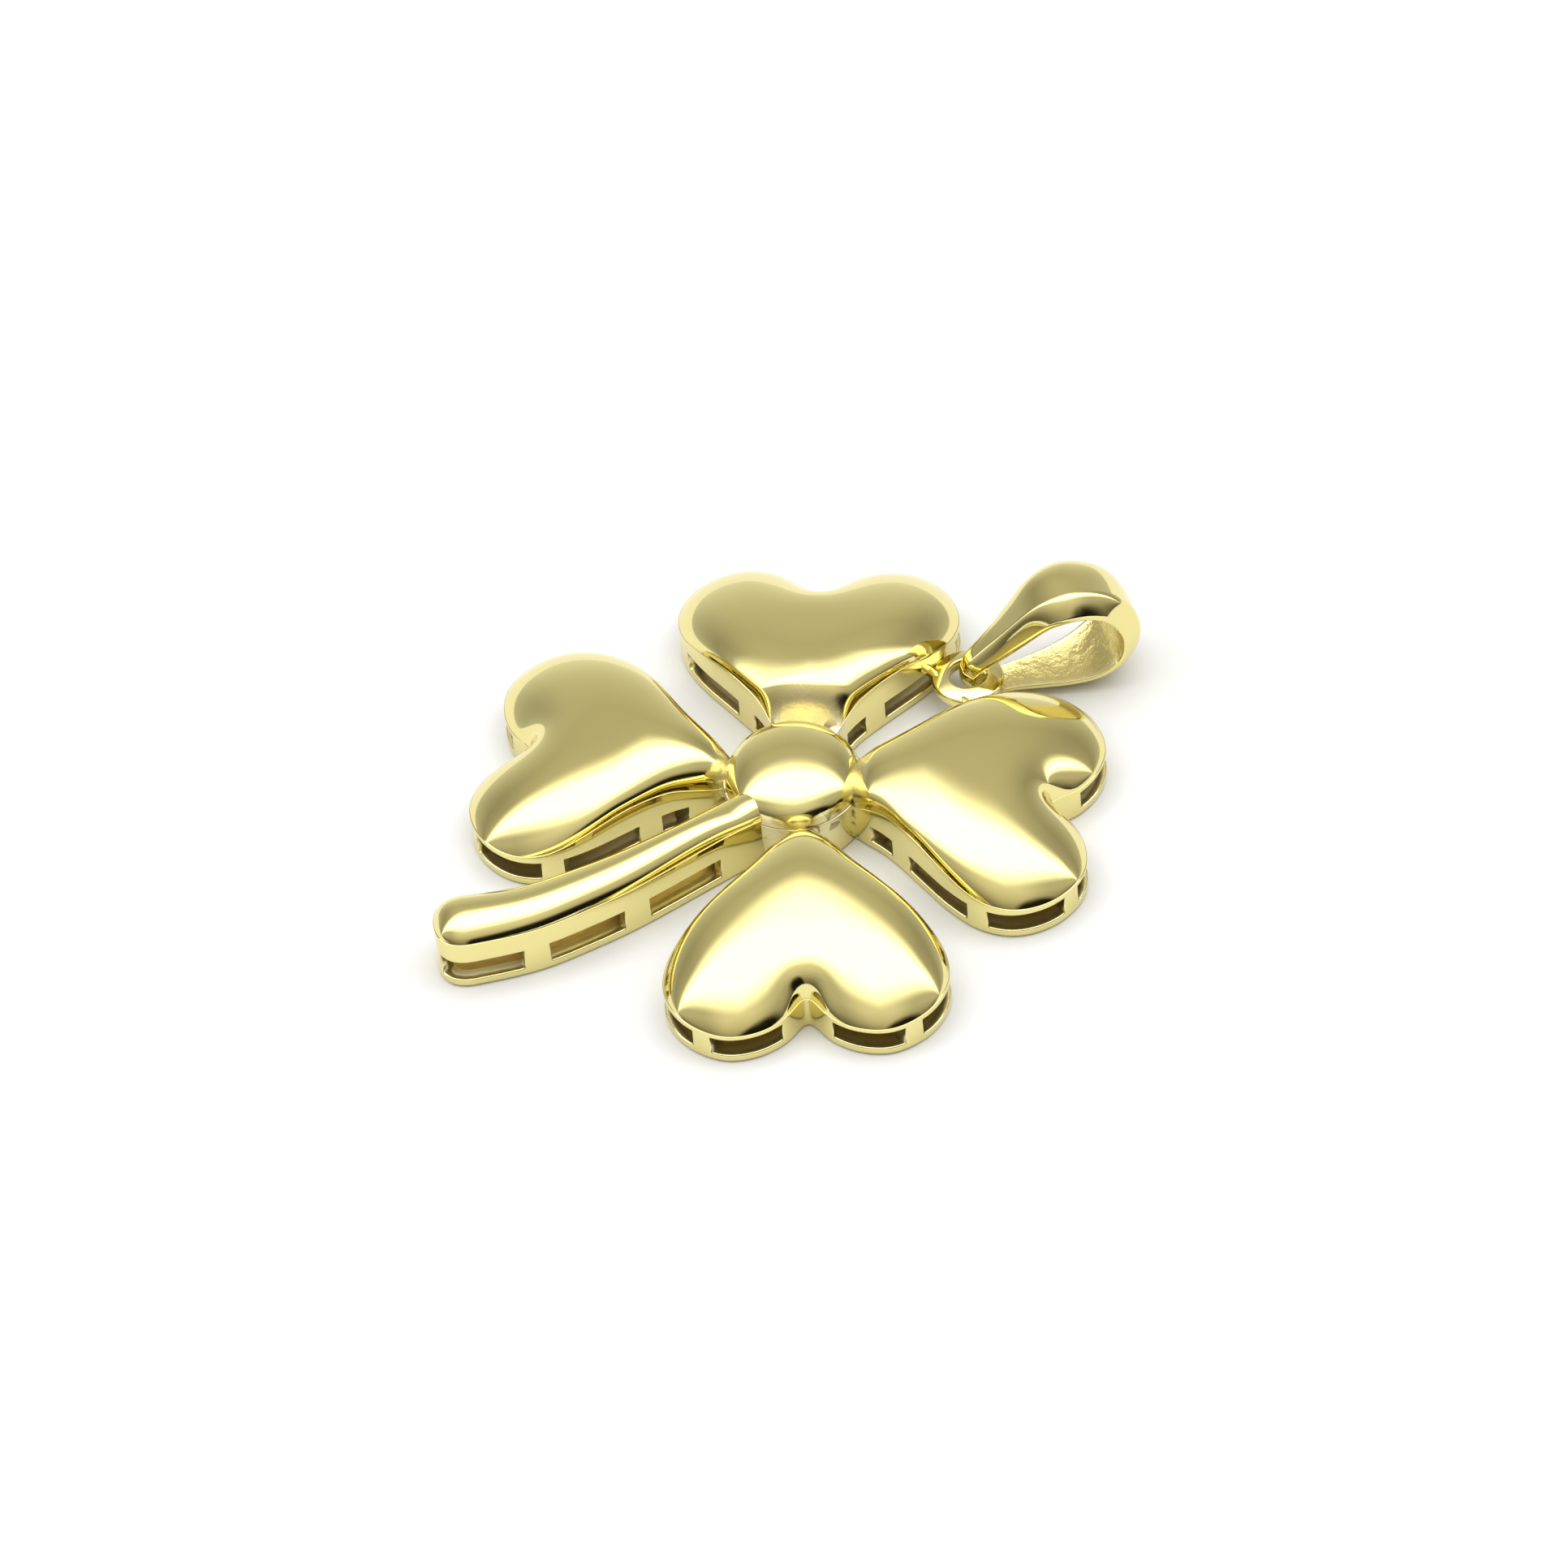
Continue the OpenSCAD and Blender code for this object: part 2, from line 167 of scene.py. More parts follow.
def window_columns(openings: tuple[tuple[float, float], ...], half: float, step: float,
                   soft: float, closed: bool, speed_at: Callable[[float], float]
                   ) -> tuple[np.ndarray, np.ndarray, list[tuple[int, int]]]:
    """Columns of a wall with windows, the same on both halves.

    Each jamb has a pair of close columns, one where the edge's rounding ends on the wall's face
    and one beyond it.

    Args:
        openings: start and end of each window along the first half.
        half: place where the first half ends.
        step: longest step between columns.
        soft: width of the rounding on the windows' edges.
        closed: whether the wall comes back to its first column.
        speed_at: millimetres of wall per step of place, at a place.

    Returns:
        Places on the outer wall, places on the inner wall, and each window's columns.
    """
    knots: list[tuple[float, float]] = [(0.0, 0.0)]
    ends = []
    for opening in openings:
        for at, way in zip(opening, (-1, 1)):
            speed = speed_at(at)
            edge = (at + way * soft / speed, at)
            guard = (at + way * (soft + GUARD) / speed, at + way * GUARD / speed)
            knots.extend([guard, edge] if way < 0 else [edge, guard])
            ends.append(len(knots) - (1 if way < 0 else 2))
    knots.append((half, half))
    outer, inner, where = spaced(knots, step)
    at = [where[k] for k in ends]
    windows = list(zip(at[::2], at[1::2]))
    far = 2 * (len(outer) - 1)
    windows += [(far - b, far - a) for a, b in windows]
    mirror = slice(-2, 0 if closed else None, -1)
    return (np.concatenate([outer, 2 * half - outer[mirror]]),
            np.concatenate([inner, 2 * half - inner[mirror]]), windows)


# ---- meshes ----


@dataclass
class Skin:
    """Points and faces gathered from grids, then welded into one closed mesh."""

    points: list[np.ndarray] = field(default_factory=list)
    raw: list[np.ndarray] = field(default_factory=list)
    quads: list[np.ndarray] = field(default_factory=list)
    count: int = 0

    def add(self, points: np.ndarray, raw: float | np.ndarray = 0.0) -> np.ndarray:
        """Adds points of any grid shape.

        Args:
            points: coordinates in millimetres, last axis x, y, z.
            raw: 0 for polished metal and 1 for metal left as cast.

        Returns:
            Their numbers, in the shape of the grid.
        """
        shape = points.shape[:-1]
        self.points.append(points.reshape(-1, 3))
        self.raw.append(np.broadcast_to(raw, shape).reshape(-1).astype(float))
        numbers = np.arange(self.count, self.count + int(np.prod(shape))).reshape(shape)
        self.count += numbers.size
        return numbers

    def join(self, a: np.ndarray, b: np.ndarray, keep: np.ndarray | None = None) -> None:
        """Faces between two closed rows of points.

        Args:
            a: numbers of the first row.
            b: numbers of the second row, as many.
            keep: one truth value per face, where some stay open.
        """
        faces = np.stack([a, np.roll(a, -1), np.roll(b, -1), b], 1)
        self.quads.append(faces if keep is None else faces[keep])

    def rows(self, numbers: np.ndarray) -> None:
        """Faces between all neighbouring rows of a grid of points, each row closed."""
        for a, b in zip(numbers[:-1], numbers[1:]):
            self.join(a, b)

    def piece(self, name: str) -> bpy.types.Object:
        """Welds the points, turns all faces outwards and makes the mesh object.

        Args:
            name: the piece's name.

        Returns:
            The new object, at the origin, with smooth faces.
        """
        mesh = bpy.data.meshes.new(name)
        points = np.concatenate(self.points) * MM
        quads = np.concatenate(self.quads)
        mesh.vertices.add(len(points))
        mesh.vertices.foreach_set("co", points.astype(np.float32).ravel())
        mesh.loops.add(quads.size)
        mesh.loops.foreach_set("vertex_index", quads.astype(np.int32).ravel())
        mesh.polygons.add(len(quads))
        mesh.polygons.foreach_set("loop_start", np.arange(0, quads.size, 4, dtype=np.int32))
        mark = mesh.attributes.new(RAW, "FLOAT", "POINT")
        mark.data.foreach_set("value", np.concatenate(self.raw).astype(np.float32))
        mesh.update(calc_edges=True)
        work = bmesh.new()
        work.from_mesh(mesh)
        bmesh.ops.remove_doubles(work, verts=work.verts, dist=2e-7)
        bmesh.ops.dissolve_degenerate(work, edges=work.edges, dist=1e-8)
        bmesh.ops.recalc_face_normals(work, faces=work.faces)
        work.to_mesh(mesh)
        work.free()
        mesh.polygons.foreach_set("use_smooth", np.ones(len(mesh.polygons), bool))
        mesh.update()
        piece = bpy.data.objects.new(name, mesh)
        bpy.context.scene.collection.objects.link(piece)
        return piece


@dataclass
class WindowedShell:
    """Hollow shell without open seams: flat back, upright wall with windows, domed top.

    Every line runs round the same columns. The outer and the inner skin each go from the middle
    of the back up the wall to the middle of the top, and the windows' jambs join the two.
    """

    outer: np.ndarray  # plane outline of the outer wall, one row per column
    outward: np.ndarray  # its outward directions
    inner: np.ndarray  # plane outline of the inner wall
    middle: np.ndarray  # plane point that each column's back runs to
    border: np.ndarray  # height of the wall's upper border per column
    top: np.ndarray  # rings of the domed top, the last one at its middle
    ceiling: np.ndarray  # rings of the hollow's top, the first one at the inner wall
    jambs: list[tuple[np.ndarray, float, float]]  # per step: plane points, low, high
    windows: list[tuple[int, int]]  # first and last column of each window
    sill: float  # height of the windows' lower edge
    lintel: float  # height of the windows' upper edge
    back: float  # thickness of the back
    soft: float  # width of the rounding on the windows' edges
    foot: float  # radius of the rounding at the floor
    lip: float  # radius of the rounding at the wall's upper edge
    crevice: np.ndarray  # plane point that the buffing wheel couldn't get near
    unbuffed: float  # distance from that point at which the outside is fully buffed
    rawest: float = 0.75  # how raw the outside stays next to that point
    fade: float = 0.7  # distance over which it turns to buffed
    jamb_raw: float = 0.5  # how raw the jambs are where they end on the inner wall

    @staticmethod
    def level(plane: np.ndarray, height: float | np.ndarray) -> np.ndarray:
        """Plane points set at a height."""
        return np.concatenate([plane, np.broadcast_to(height, (len(plane),))[:, None]], 1)

    def build(self, name: str) -> bpy.types.Object:
        """Makes the shell's mesh.

        Args:
            name: the piece's name.

        Returns:
            The new object.
        """
        skin = Skin()
        low, high = self.sill - self.soft, self.lintel + self.soft
        base = self.outer - self.outward * self.foot
        rings = [self.level(self.middle + (base - self.middle) * s, 0)
                 for s in (0, 0.3, 0.6, 0.85, 0.97, 1)]
        for turn in np.radians([22.5, 45, 67.5, 90]):
            inset = self.foot * (1 - np.sin(turn))
            rings.append(self.level(self.outer - self.outward * inset,
                                    self.foot * (1 - np.cos(turn))))
        rings.append(self.level(self.outer, low - GUARD))
        rings.append(self.level(self.outer, low))
        sill_row = len(rings) - 1
        rings.append(self.level(self.outer, high))
        rings.append(self.level(self.outer, high + GUARD))
        rings.append(self.level(self.outer, (high + GUARD + self.border) / 2))
        for turn in np.radians([0, 30, 60, 90]):
            inset = self.lip * (1 - np.cos(turn))
            rings.append(self.level(self.outer - self.outward * inset,
                                    self.border - self.lip * (1 - np.sin(turn))))
        face = np.concatenate([np.array(rings), self.top])
        away = np.linalg.norm(face[..., :2] - self.crevice, axis=2)
        outside = skin.add(face, self.rawest * (
            1 - ease((away - self.unbuffed + self.fade) / self.fade)))
        floor = [self.level(self.middle + (self.inner - self.middle) * s, self.back)
                 for s in (0, 0.5, 0.9, 1)]
        floor.append(self.level(self.inner, self.sill))
        floor.append(self.level(self.inner, self.lintel))
        inside = skin.add(np.concatenate([np.array(floor), self.ceiling]), 1.0)
        solid = np.ones(len(self.outer), bool)
        for first, last in self.windows:
            solid[first:last] = False
        for numbers, row in ((outside, sill_row), (inside, len(floor) - 2)):
            for k, (a, b) in enumerate(zip(numbers[:-1], numbers[1:])):
                skin.join(a, b, keep=solid if k == row else None)
        depth = [(outside[sill_row], outside[sill_row + 1])]
        for step, (plane, under, over) in enumerate(self.jambs):
            mark = (step + 1) / len(self.jambs) * self.jamb_raw
            depth.append((skin.add(self.level(plane, under), mark),
                          skin.add(self.level(plane, over), mark)))
        depth.append((inside[len(floor) - 2], inside[len(floor) - 1]))
        for first, last in self.windows:
            loops = [np.concatenate([a[first:last + 1], b[first:last + 1][::-1]]) for a, b in depth]
            for a, b in zip(loops[:-1], loops[1:]):
                skin.join(a, b)
        return skin.piece(name)


def inflated(outline: np.ndarray, reach: np.ndarray, border: np.ndarray, places: np.ndarray
             ) -> tuple[np.ndarray, np.ndarray]:
    """Height shares of a stretched skin blown up over a closed outline.

    The skin obeys the membrane equation, whose bend is the same everywhere: its height is minus a
    quarter of the squared radius plus a sum of logarithmic sources round the outline, chosen so
    that the height is nought on the outline. A second sum carries the border's own height inwards.

    Args:
        outline: closed plane outline, one row per point.
        reach: steps outwards from each point to its source.
        border: height of the border at each point.
        places: plane points where the shares are wanted, last axis x, y.

    Returns:
        The skin's height at each place as a share of its crest, and the border's carried height.
    """
    centre = outline.mean(0)
    flat = places.reshape(-1, 2) - centre
    ring = outline - centre
    source = ring + reach

    def logs(p: np.ndarray) -> np.ndarray:
        """Logarithm of the distance from each place to each source, with a constant last."""
        far = np.linalg.norm(p[:, None] - source[None], axis=2)
        return np.concatenate([np.log(far), np.ones((len(p), 1))], 1)

    known = np.stack([(ring**2).sum(1) / 4, border], 1)
    weights = np.linalg.lstsq(logs(ring), known, rcond=1e-9)[0]
    value = logs(flat) @ weights
    height = value[:, 0] - (flat**2).sum(1) / 4
    return ((height / height.max()).reshape(places.shape[:-1]),
            value[:, 1].reshape(places.shape[:-1]))


# ---- finishes ----


def linear(code: str) -> tuple[float, float, float, float]:
    """Linear colour of an sRGB hex value such as 'e6d9a0'."""
    parts = [int(code[i:i + 2], 16) / 255 for i in (0, 2, 4)]
    return tuple(v / 12.92 if v <= 0.04045 else ((v + 0.055) / 1.055) ** 2.4 for v in parts) + (1.0,)


def node(tree: bpy.types.NodeTree, kind: str, settings: dict | None = None,
         inputs: dict | None = None) -> bpy.types.Node:
    """Adds a shader node.

    Args:
        tree: the node tree.
        kind: the node's type, without the leading ShaderNode.
        settings: values for the node's own properties.
        inputs: values, or sockets to link from, by input name or number.

    Returns:
        The new node.
    """
    made = tree.nodes.new("ShaderNode" + kind)
    for key, value in (settings or {}).items():
        setattr(made, key, value)
    for key, value in (inputs or {}).items():
        if isinstance(value, bpy.types.NodeSocket):
            tree.links.new(value, made.inputs[key])
        else:
            made.inputs[key].default_value = value
    return made


@dataclass(frozen=True)
class CastGold:
    """Yellow gold of about 18 carat, cast by the lost wax way, then barrelled and buffed.

    Buffed faces are near mirrors with a faint unevenness from the wheel and hairline scratches.
    Where the wheel didn't reach, the metal keeps the grainy skin of the mould: dull, with a few
    pits by the dome. Its colour there is painted pale, partly the skin's own tone and partly a
    painted highlight for the cream sheen in the crevices by the dome, and inside the windows it
    is painted deeper and browner, which is painted shade.
    """

    name: str
    bright: str = "ece19e"  # buffed gold under white light
    shade: str = "e8db94"  # slow drift of the alloy's tone
    skin: str = "ece3b6"  # as cast skin in the open, painted pale: partly its own tone, partly a painted highlight for the cream sheen in the crevices by the dome
    deep: str = "ecd48a"  # as cast metal inside, painted deeper: painted shade in the hollows
    pits: str = "5a4420"  # pits of the casting that hold polishing compound
    pit_mm: float = 0.42  # spacing of the pits
    pit_share: tuple[float, float] = (0.61, 0.65)  # noise level from which a pit opens
    pit_reach_mm: tuple[float, float] = (3.2, 3.5)  # pits stay this near the dome's middle
    skin_and_sheen_raw: float = 0.7  # mark at which the pale skin colour, partly painted highlight, is full
    deep_shade_raw: float = 0.78  # mark from which the deeper colour of the insides, painted shade, starts
    drift_mm: float = 5.0  # spacing of the drift in tone
    polish: float = 0.07  # roughness of the buffed faces
    polish_range: tuple[float, float] = (0.85, 1.25)  # shares of it between and on the hairlines
    grain: float = 0.46  # roughness of the as cast skin
    wheel_mm: float = 2.4  # spacing of the buffing wheel's unevenness
    wheel_depth_mm: float = 0.0016
    hair_mm: float = 0.16  # spacing of hairline scratches, coarser than real so that they show
    hair_depth_mm: float = 0.00012
    comb_turn: tuple[float, float, float] = (0.3, 0.2, 0.9)  # the way the hairlines run, radians
    comb_scale: tuple[float, float, float] = (1.0, 0.06, 1.0)  # draws the noise out to hairlines
    mould_mm: float = 0.22  # grain of the mould's skin
    mould_depth_mm: float = 0.02

    def material(self) -> bpy.types.Material:
        """Makes the material.

        Returns:
            A metal that turns from buffed to as cast by the raw_cast attribute; the same attribute
            paints its colour paler, partly painted highlight, and deeper inside, painted shade.
        """
        made = bpy.data.materials.new(self.name)
        made.use_nodes = True
        tree = made.node_tree
        tree.nodes.clear()
        place = node(tree, "TexCoord").outputs["Object"]
        raw = node(tree, "Attribute", {"attribute_name": RAW}).outputs["Fac"]
        comb = node(tree, "Mapping", None, {
            "Vector": place, "Rotation": self.comb_turn, "Scale": self.comb_scale}).outputs["Vector"]
        drift, mould, holes, wheel, hair = (
            node(tree, "TexNoise", None, {
                "Vector": vector, "Scale": 1 / (spacing * MM), "Detail": detail,
                "Roughness": rough}).outputs["Fac"]
            for vector, spacing, detail, rough in (
                (place, self.drift_mm, 2.0, 0.5), (place, self.mould_mm, 4.0, 0.6),
                (place, self.pit_mm, 1.0, 0.5), (place, self.wheel_mm, 1.0, 0.5),
                (comb, self.hair_mm, 3.0, 0.5)))
        tone = node(tree, "Mix", {"data_type": "RGBA"}, {
            "Factor": drift, 6: linear(self.bright), 7: linear(self.shade)}).outputs[2]
        reach = node(tree, "VectorMath", {"operation": "LENGTH"}, {0: place}).outputs["Value"]
        by_dome = node(tree, "MapRange", None, {
            "Value": reach, "From Min": self.pit_reach_mm[0] * MM,
            "From Max": self.pit_reach_mm[1] * MM, "To Min": 1.0, "To Max": 0.0}).outputs[0]
        crevice = node(tree, "Math", {"operation": "MULTIPLY"}, {0: by_dome, 1: raw}).outputs[0]
        opened = node(tree, "MapRange", None, {
            "Value": holes, "From Min": self.pit_share[0],
            "From Max": self.pit_share[1]}).outputs[0]
        pit = node(tree, "Math", {"operation": "MULTIPLY"}, {0: crevice, 1: opened}).outputs[0]
        # pale colour of the cast skin, partly a painted highlight for the cream sheen in the crevices
        # by the dome
        skin_and_sheen_share = node(tree, "MapRange", None, {"Value": raw, "From Max": self.skin_and_sheen_raw}).outputs[0]
        pale = node(tree, "Mix", {"data_type": "RGBA"}, {
            "Factor": skin_and_sheen_share, 6: tone, 7: linear(self.skin)}).outputs[2]
        # deeper, browner colour inside the hollows: painted shade
        inside = node(tree, "MapRange", None, {"Value": raw, "From Min": self.deep_shade_raw}).outputs[0]
        cast = node(tree, "Mix", {"data_type": "RGBA"}, {
            "Factor": inside, 6: pale, 7: linear(self.deep)}).outputs[2]
        colour = node(tree, "Mix", {"data_type": "RGBA"}, {
            "Factor": pit, 6: cast, 7: linear(self.pits)}).outputs[2]
        uneven = node(tree, "Bump", None, {
            "Height": wheel, "Distance": self.wheel_depth_mm * MM, "Strength": 1.0}).outputs["Normal"]
        scratched = node(tree, "Bump", None, {
            "Height": hair, "Distance": self.hair_depth_mm * MM, "Strength": 1.0,
            "Normal": uneven}).outputs["Normal"]
        grainy = node(tree, "Bump", None, {
            "Height": mould, "Distance": self.mould_depth_mm * MM, "Strength": raw,
            "Normal": scratched}).outputs["Normal"]
        buffed = node(tree, "MapRange", None, {
            "Value": hair, "From Min": 0.35, "From Max": 0.7,
            "To Min": self.polish * self.polish_range[0],
            "To Max": self.polish * self.polish_range[1]}).outputs[0]
        rough = node(tree, "Mix", {"data_type": "FLOAT"}, {
            "Factor": raw, 2: buffed, 3: self.grain}).outputs[0]
        shader = node(tree, "BsdfPrincipled", None, {
            "Base Color": colour, "Metallic": 1.0, "Roughness": rough, "Normal": grainy})
        node(tree, "OutputMaterial", None, {"Surface": shader.outputs["BSDF"]})
        return made


def settle(piece: bpy.types.Object, finish: bpy.types.Material, body: Body) -> None:
    """Dresses a piece, sets it on its body in place of that body's CAD solid, and reports it.

    Args:
        piece: the piece.
        finish: its material.
        body: the body it rides on.
    """
    piece.data.materials.append(finish)
    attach(piece, body.value)
    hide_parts(body.value)
    size = [round(v / MM, 2) for v in piece.dimensions]
    LOG.info("%s: %d faces, %s mm", piece.name, len(piece.data.polygons), size)


# ---- the clover casting ----


@dataclass(frozen=True)
class Walls:
    """Wall sizes that the whole casting shares."""

    side: float = 0.5
    top: float = 0.45
    back: float = 0.33
    rim: float = 0.04  # lower rim of a window over the back plate
    soft: float = 0.055  # rounding of the windows' edges
    foot: float = 0.16  # rounding at the floor, which makes the lower rail a bead
    lip: float = 0.014  # rounding of the wall's upper edge
    ledge: float = 0.016  # how far the domed top starts behind the wall's face
    chamfer_steps: tuple[float, ...] = (30.0, 60.0, 90.0)

    def jambs(self, outer: np.ndarray, inner: np.ndarray,
              place: Callable[[np.ndarray], tuple[np.ndarray, np.ndarray]],
              sill: float, lintel: float) -> list[tuple[np.ndarray, float, float]]:
        """Lines that lead the windows' edges round from the wall's face into the jamb.

        Args:
            outer: columns' places on the outer wall.
            inner: columns' places on the inner wall.
            place: function from places to plane points and outward directions.
            sill: height of the windows' lower edge.
            lintel: height of the windows' upper edge.

        Returns:
            Per step the plane points, and the heights of the lower and upper line.
        """
        made = []
        for turn in np.radians(self.chamfer_steps):
            open_by = 1 - math.sin(turn)
            point, out = place(inner + (outer - inner) * open_by)
            depth = self.soft * (1 - math.cos(turn))
            made.append((point - out * depth, sill - self.soft * open_by,
                         lintel + self.soft * open_by))
        return made


@dataclass(frozen=True)
class LeafPlace:
    """Where a leaf stands round the dome."""

    name: str
    bearing: float  # degrees from +X
    out: float  # how far the leaf's root is set out from the dome's middle
    twist: float  # turn about the leaf's own middle, degrees
    size: float  # scale about that middle, in plan
    fall: float  # length of the top's fall to the dome
    left: float  # share of the top's rise that is left at the dome
    worn: float  # wear of the lobes' edges, which keeps the top's foot short of upright


@dataclass
class Leaf:
    """Heart shaped leaf: outline, domed top, hollow and windows."""

    length: float = 11.0
    width: float = 9.8
    crest: float = 3.15  # height of the top's highest point
    lean: float = 0.12  # fall of the top outwards, share of the distance along the leaf
    flank: float = 0.35  # how fast the top rises from its edge along the flanks, 1 is gentle
    lobe: float = 0.62  # the same round the lobes
    worn: float = 0.02  # wear of the flanks' edges
    edge: float = 2.25  # height of the wall where it is highest
    window: float = 0.74  # height of the windows
    mid_share: float = 0.636  # the leaf's middle, share of the length
    crest_share: float = 0.582  # the highest point, share of the length
    neck_from: float = 2.17  # distance from the dome's middle where the fall to the dome ends
    buffed_from: float = 2.35  # the same for the buffed face, before a share of the fall is added
    solder_at: float = 6.1  # place along the outline where the eye ring's foot is soldered on
    hollow_from: float = 2.32  # distance from the dome's middle where the hollow starts
    hollow_low: float = 0.12  # how far under the wall's border the hollow's top starts
    walls: Walls = field(default_factory=Walls)
    step: float = 1 / 11  # longest step between columns, in control point steps
    fair: float = 0.22  # width of the low pass over the outline, in control point steps
    per: int = 64
    # half outline: share of length, share of half width, share of the edge height
    half: tuple[tuple[float, float, float], ...] = (
        (0.145, 0.000, 0.62), (0.185, 0.080, 0.65), (0.235, 0.172, 0.71), (0.300, 0.265, 0.84),
        (0.373, 0.370, 0.96), (0.477, 0.588, 1.00), (0.582, 0.812, 0.87), (0.691, 0.969, 0.69),
        (0.809, 1.000, 0.62), (0.923, 0.867, 0.60), (0.993, 0.612, 0.58), (0.986, 0.357, 0.58),
        (0.932, 0.147, 0.60), (0.855, 0.000, 0.63))
    # windows of half a leaf: start and end along the outline
    openings: tuple[tuple[float, float], ...] = (
        (3.18, 4.13), (4.72, 6.62), (7.22, 9.26), (9.74, 11.87))

    def __post_init__(self) -> None:
        """Works out the outline once for all four leaves."""
        rows = np.array(self.half) * (self.length, self.width / 2, self.edge)
        back = rows[-2:0:-1] * (1, -1, 1)
        self.line = closed_line(np.concatenate([rows, back]), self.per, self.fair)
        self.turns = len(rows) + len(back)
        self.mid = np.array([self.length * self.mid_share, 0.0])
        self.crest_at = np.array([self.length * self.crest_share, 0.0])

    def place(self, u: np.ndarray) -> tuple[np.ndarray, np.ndarray]:
        """Plane points of the outline at places u, and the outward directions there."""
        run = along(self.line, u + 0.04, self.per) - along(self.line, u - 0.04, self.per)
        return along(self.line, u, self.per)[:, :2], left_of(run[:, :2])

    def border(self, u: np.ndarray) -> np.ndarray:
        """Height of the wall's upper border at places u."""
        return along(self.line, u, self.per)[:, 2]

    def columns(self) -> tuple[np.ndarray, np.ndarray, list[tuple[int, int]]]:
        """Columns round the leaf.

        Returns:
            Places on the outer wall, places on the inner wall, and each window's columns.
        """
        def speed_at(at: float) -> float:
            """Millimetres of outline per step of place."""
            pair = along(self.line, np.array([at - 0.02, at + 0.02]), self.per)
            return float(np.linalg.norm(pair[1, :2] - pair[0, :2])) / 0.04

        return window_columns(
            self.openings, self.turns / 2, self.step, self.walls.soft, True, speed_at)

    def neck(self, x: np.ndarray, spot: LeafPlace) -> np.ndarray:
        """Share of the rise left where a leaf at its place falls to the dome."""
        return spot.left + (1 - spot.left) * ease((x + spot.out - self.neck_from) / spot.fall)

    def crown(self, x: np.ndarray) -> np.ndarray:
        """Height that the top swells up to, by its length coordinate: it leans outwards."""
        return self.crest - self.lean * (x - self.crest_at[0])

    def rings(self, plane: np.ndarray, shares: np.ndarray) -> np.ndarray:
        """Plane points of rings that shrink from an outline to the crest.

        A ring at share s is the outline drawn to the crest by s, and the further in it is the
        more it turns to a circle.

        Args:
            plane: the outline.
            shares: one share per ring.

        Returns:
            Rings by columns by x and y.
        """
        gap = plane - self.crest_at
        angle = np.arctan2(gap[:, 1], gap[:, 0])
        circle = np.stack([np.cos(angle), np.sin(angle)], 1) * self.width * 0.4
        s = shares[:, None, None]
        rounding = 0.6 * (1 - s) ** 1.2
        return self.crest_at + s * (gap * (1 - rounding) + circle * rounding)

    def build(self, spot: LeafPlace) -> bpy.types.Object:
        """Makes one leaf at its place.

        The top's height is the border's carried inwards plus a share of the way from it up to the
        crown. That share is the stretched skin's, made fuller at its crest and raised to a power
        that goes from flank to lobe, times the neck's. The inner wall is the outline drawn to the
        leaf's middle by the wall's thickness, measured square to the wall.

        Args:
            spot: the leaf's place round the dome.

        Returns:
            The new object.
        """
        u_out, u_in, windows = self.columns()
        outer, outward = self.place(u_out)
        border = self.border(u_out)
        # rings from the outline to the crest, closer together at the edge, which bends the most
        shares = 1 - (np.arange(0, 33) / 32) ** 1.7
        plan = self.rings(outer - outward * self.walls.ledge, shares)
        # the skin's sources stand close to the outline at the notch, where it turns sharply
        sparse = np.arange(0, self.turns, 1 / 16)
        ring, ring_out = self.place(sparse)
        ring = ring - ring_out * self.walls.ledge
        notch = np.linalg.norm(ring - (self.length * 0.9, 0), axis=1, keepdims=True)
        gap = 0.2 + 0.35 * ease(notch / 1.6 - 0.35)
        swell, carried = inflated(ring, ring_out * gap, self.border(sparse), plan)
        full = np.clip(1 - (1 - np.clip(swell, 0, 1)) ** 1.5, 0, 1)
        lobes = ease((plan[..., 0] / self.length - 0.5) / 0.3)
        steep = self.worn + (spot.worn - self.worn) * lobes
        power = self.flank + (self.lobe - self.flank) * lobes
        rise = ((full + steep) ** power - steep ** power) / ((1 + steep) ** power - steep ** power)
        height = carried + (self.crown(plan[..., 0]) - carried) * rise * self.neck(plan[..., 0], spot)
        # the outermost rings take up what is left between the skin and the wall's border
        near = np.clip(shares * 10 - 9, 0, 1)[:, None] ** 2
        height += (border - height[:1]) * near
        top = np.concatenate([plan, height[..., None]], 2)

        inner_at, inner_out = self.place(u_in)
        draw = self.mid - inner_at
        reach = np.linalg.norm(draw, axis=1)
        lean = np.maximum(0.35, -(inner_out * draw).sum(1) / reach)
        inner = inner_at + draw * (self.walls.side / lean / reach)[:, None]
        inner[:, 0] = np.maximum(inner[:, 0], self.hollow_from - spot.out)
        # the hollow's top stays clear of the outer one, also where that falls to the dome
        low = self.hollow_low
        edge = self.border(u_in) - low
        edge -= 2.2 * low * (1 - self.neck(inner[:, 0] - 2 * low, spot))
        caves = np.array([1.0, 0.9, 0.7, 0.4, 0.0])
        plan = self.rings(inner, caves)
        puff = (1 - caves[:, None] ** 2.4) ** 0.75 * self.neck(plan[..., 0] - 3 * low, spot)
        lift = edge + (self.crown(plan[..., 0]) - self.walls.top - edge) * puff
        ceiling = np.concatenate([plan, lift[..., None]], 2)

        sill = self.walls.back + self.walls.rim
        shell = WindowedShell(
            outer=outer, outward=outward, inner=inner,
            middle=np.broadcast_to(self.mid, outer.shape), border=border, top=top, ceiling=ceiling,
            jambs=self.walls.jambs(u_out, u_in, self.place, sill, sill + self.window),
            windows=windows, sill=sill, lintel=sill + self.window, back=self.walls.back,
            soft=self.walls.soft, foot=self.walls.foot, lip=self.walls.lip,
            crevice=np.array([-spot.out, 0.0]), unbuffed=self.buffed_from + spot.fall * 0.8)
        piece = shell.build(spot.name)
        self.stand(piece, spot)
        return piece

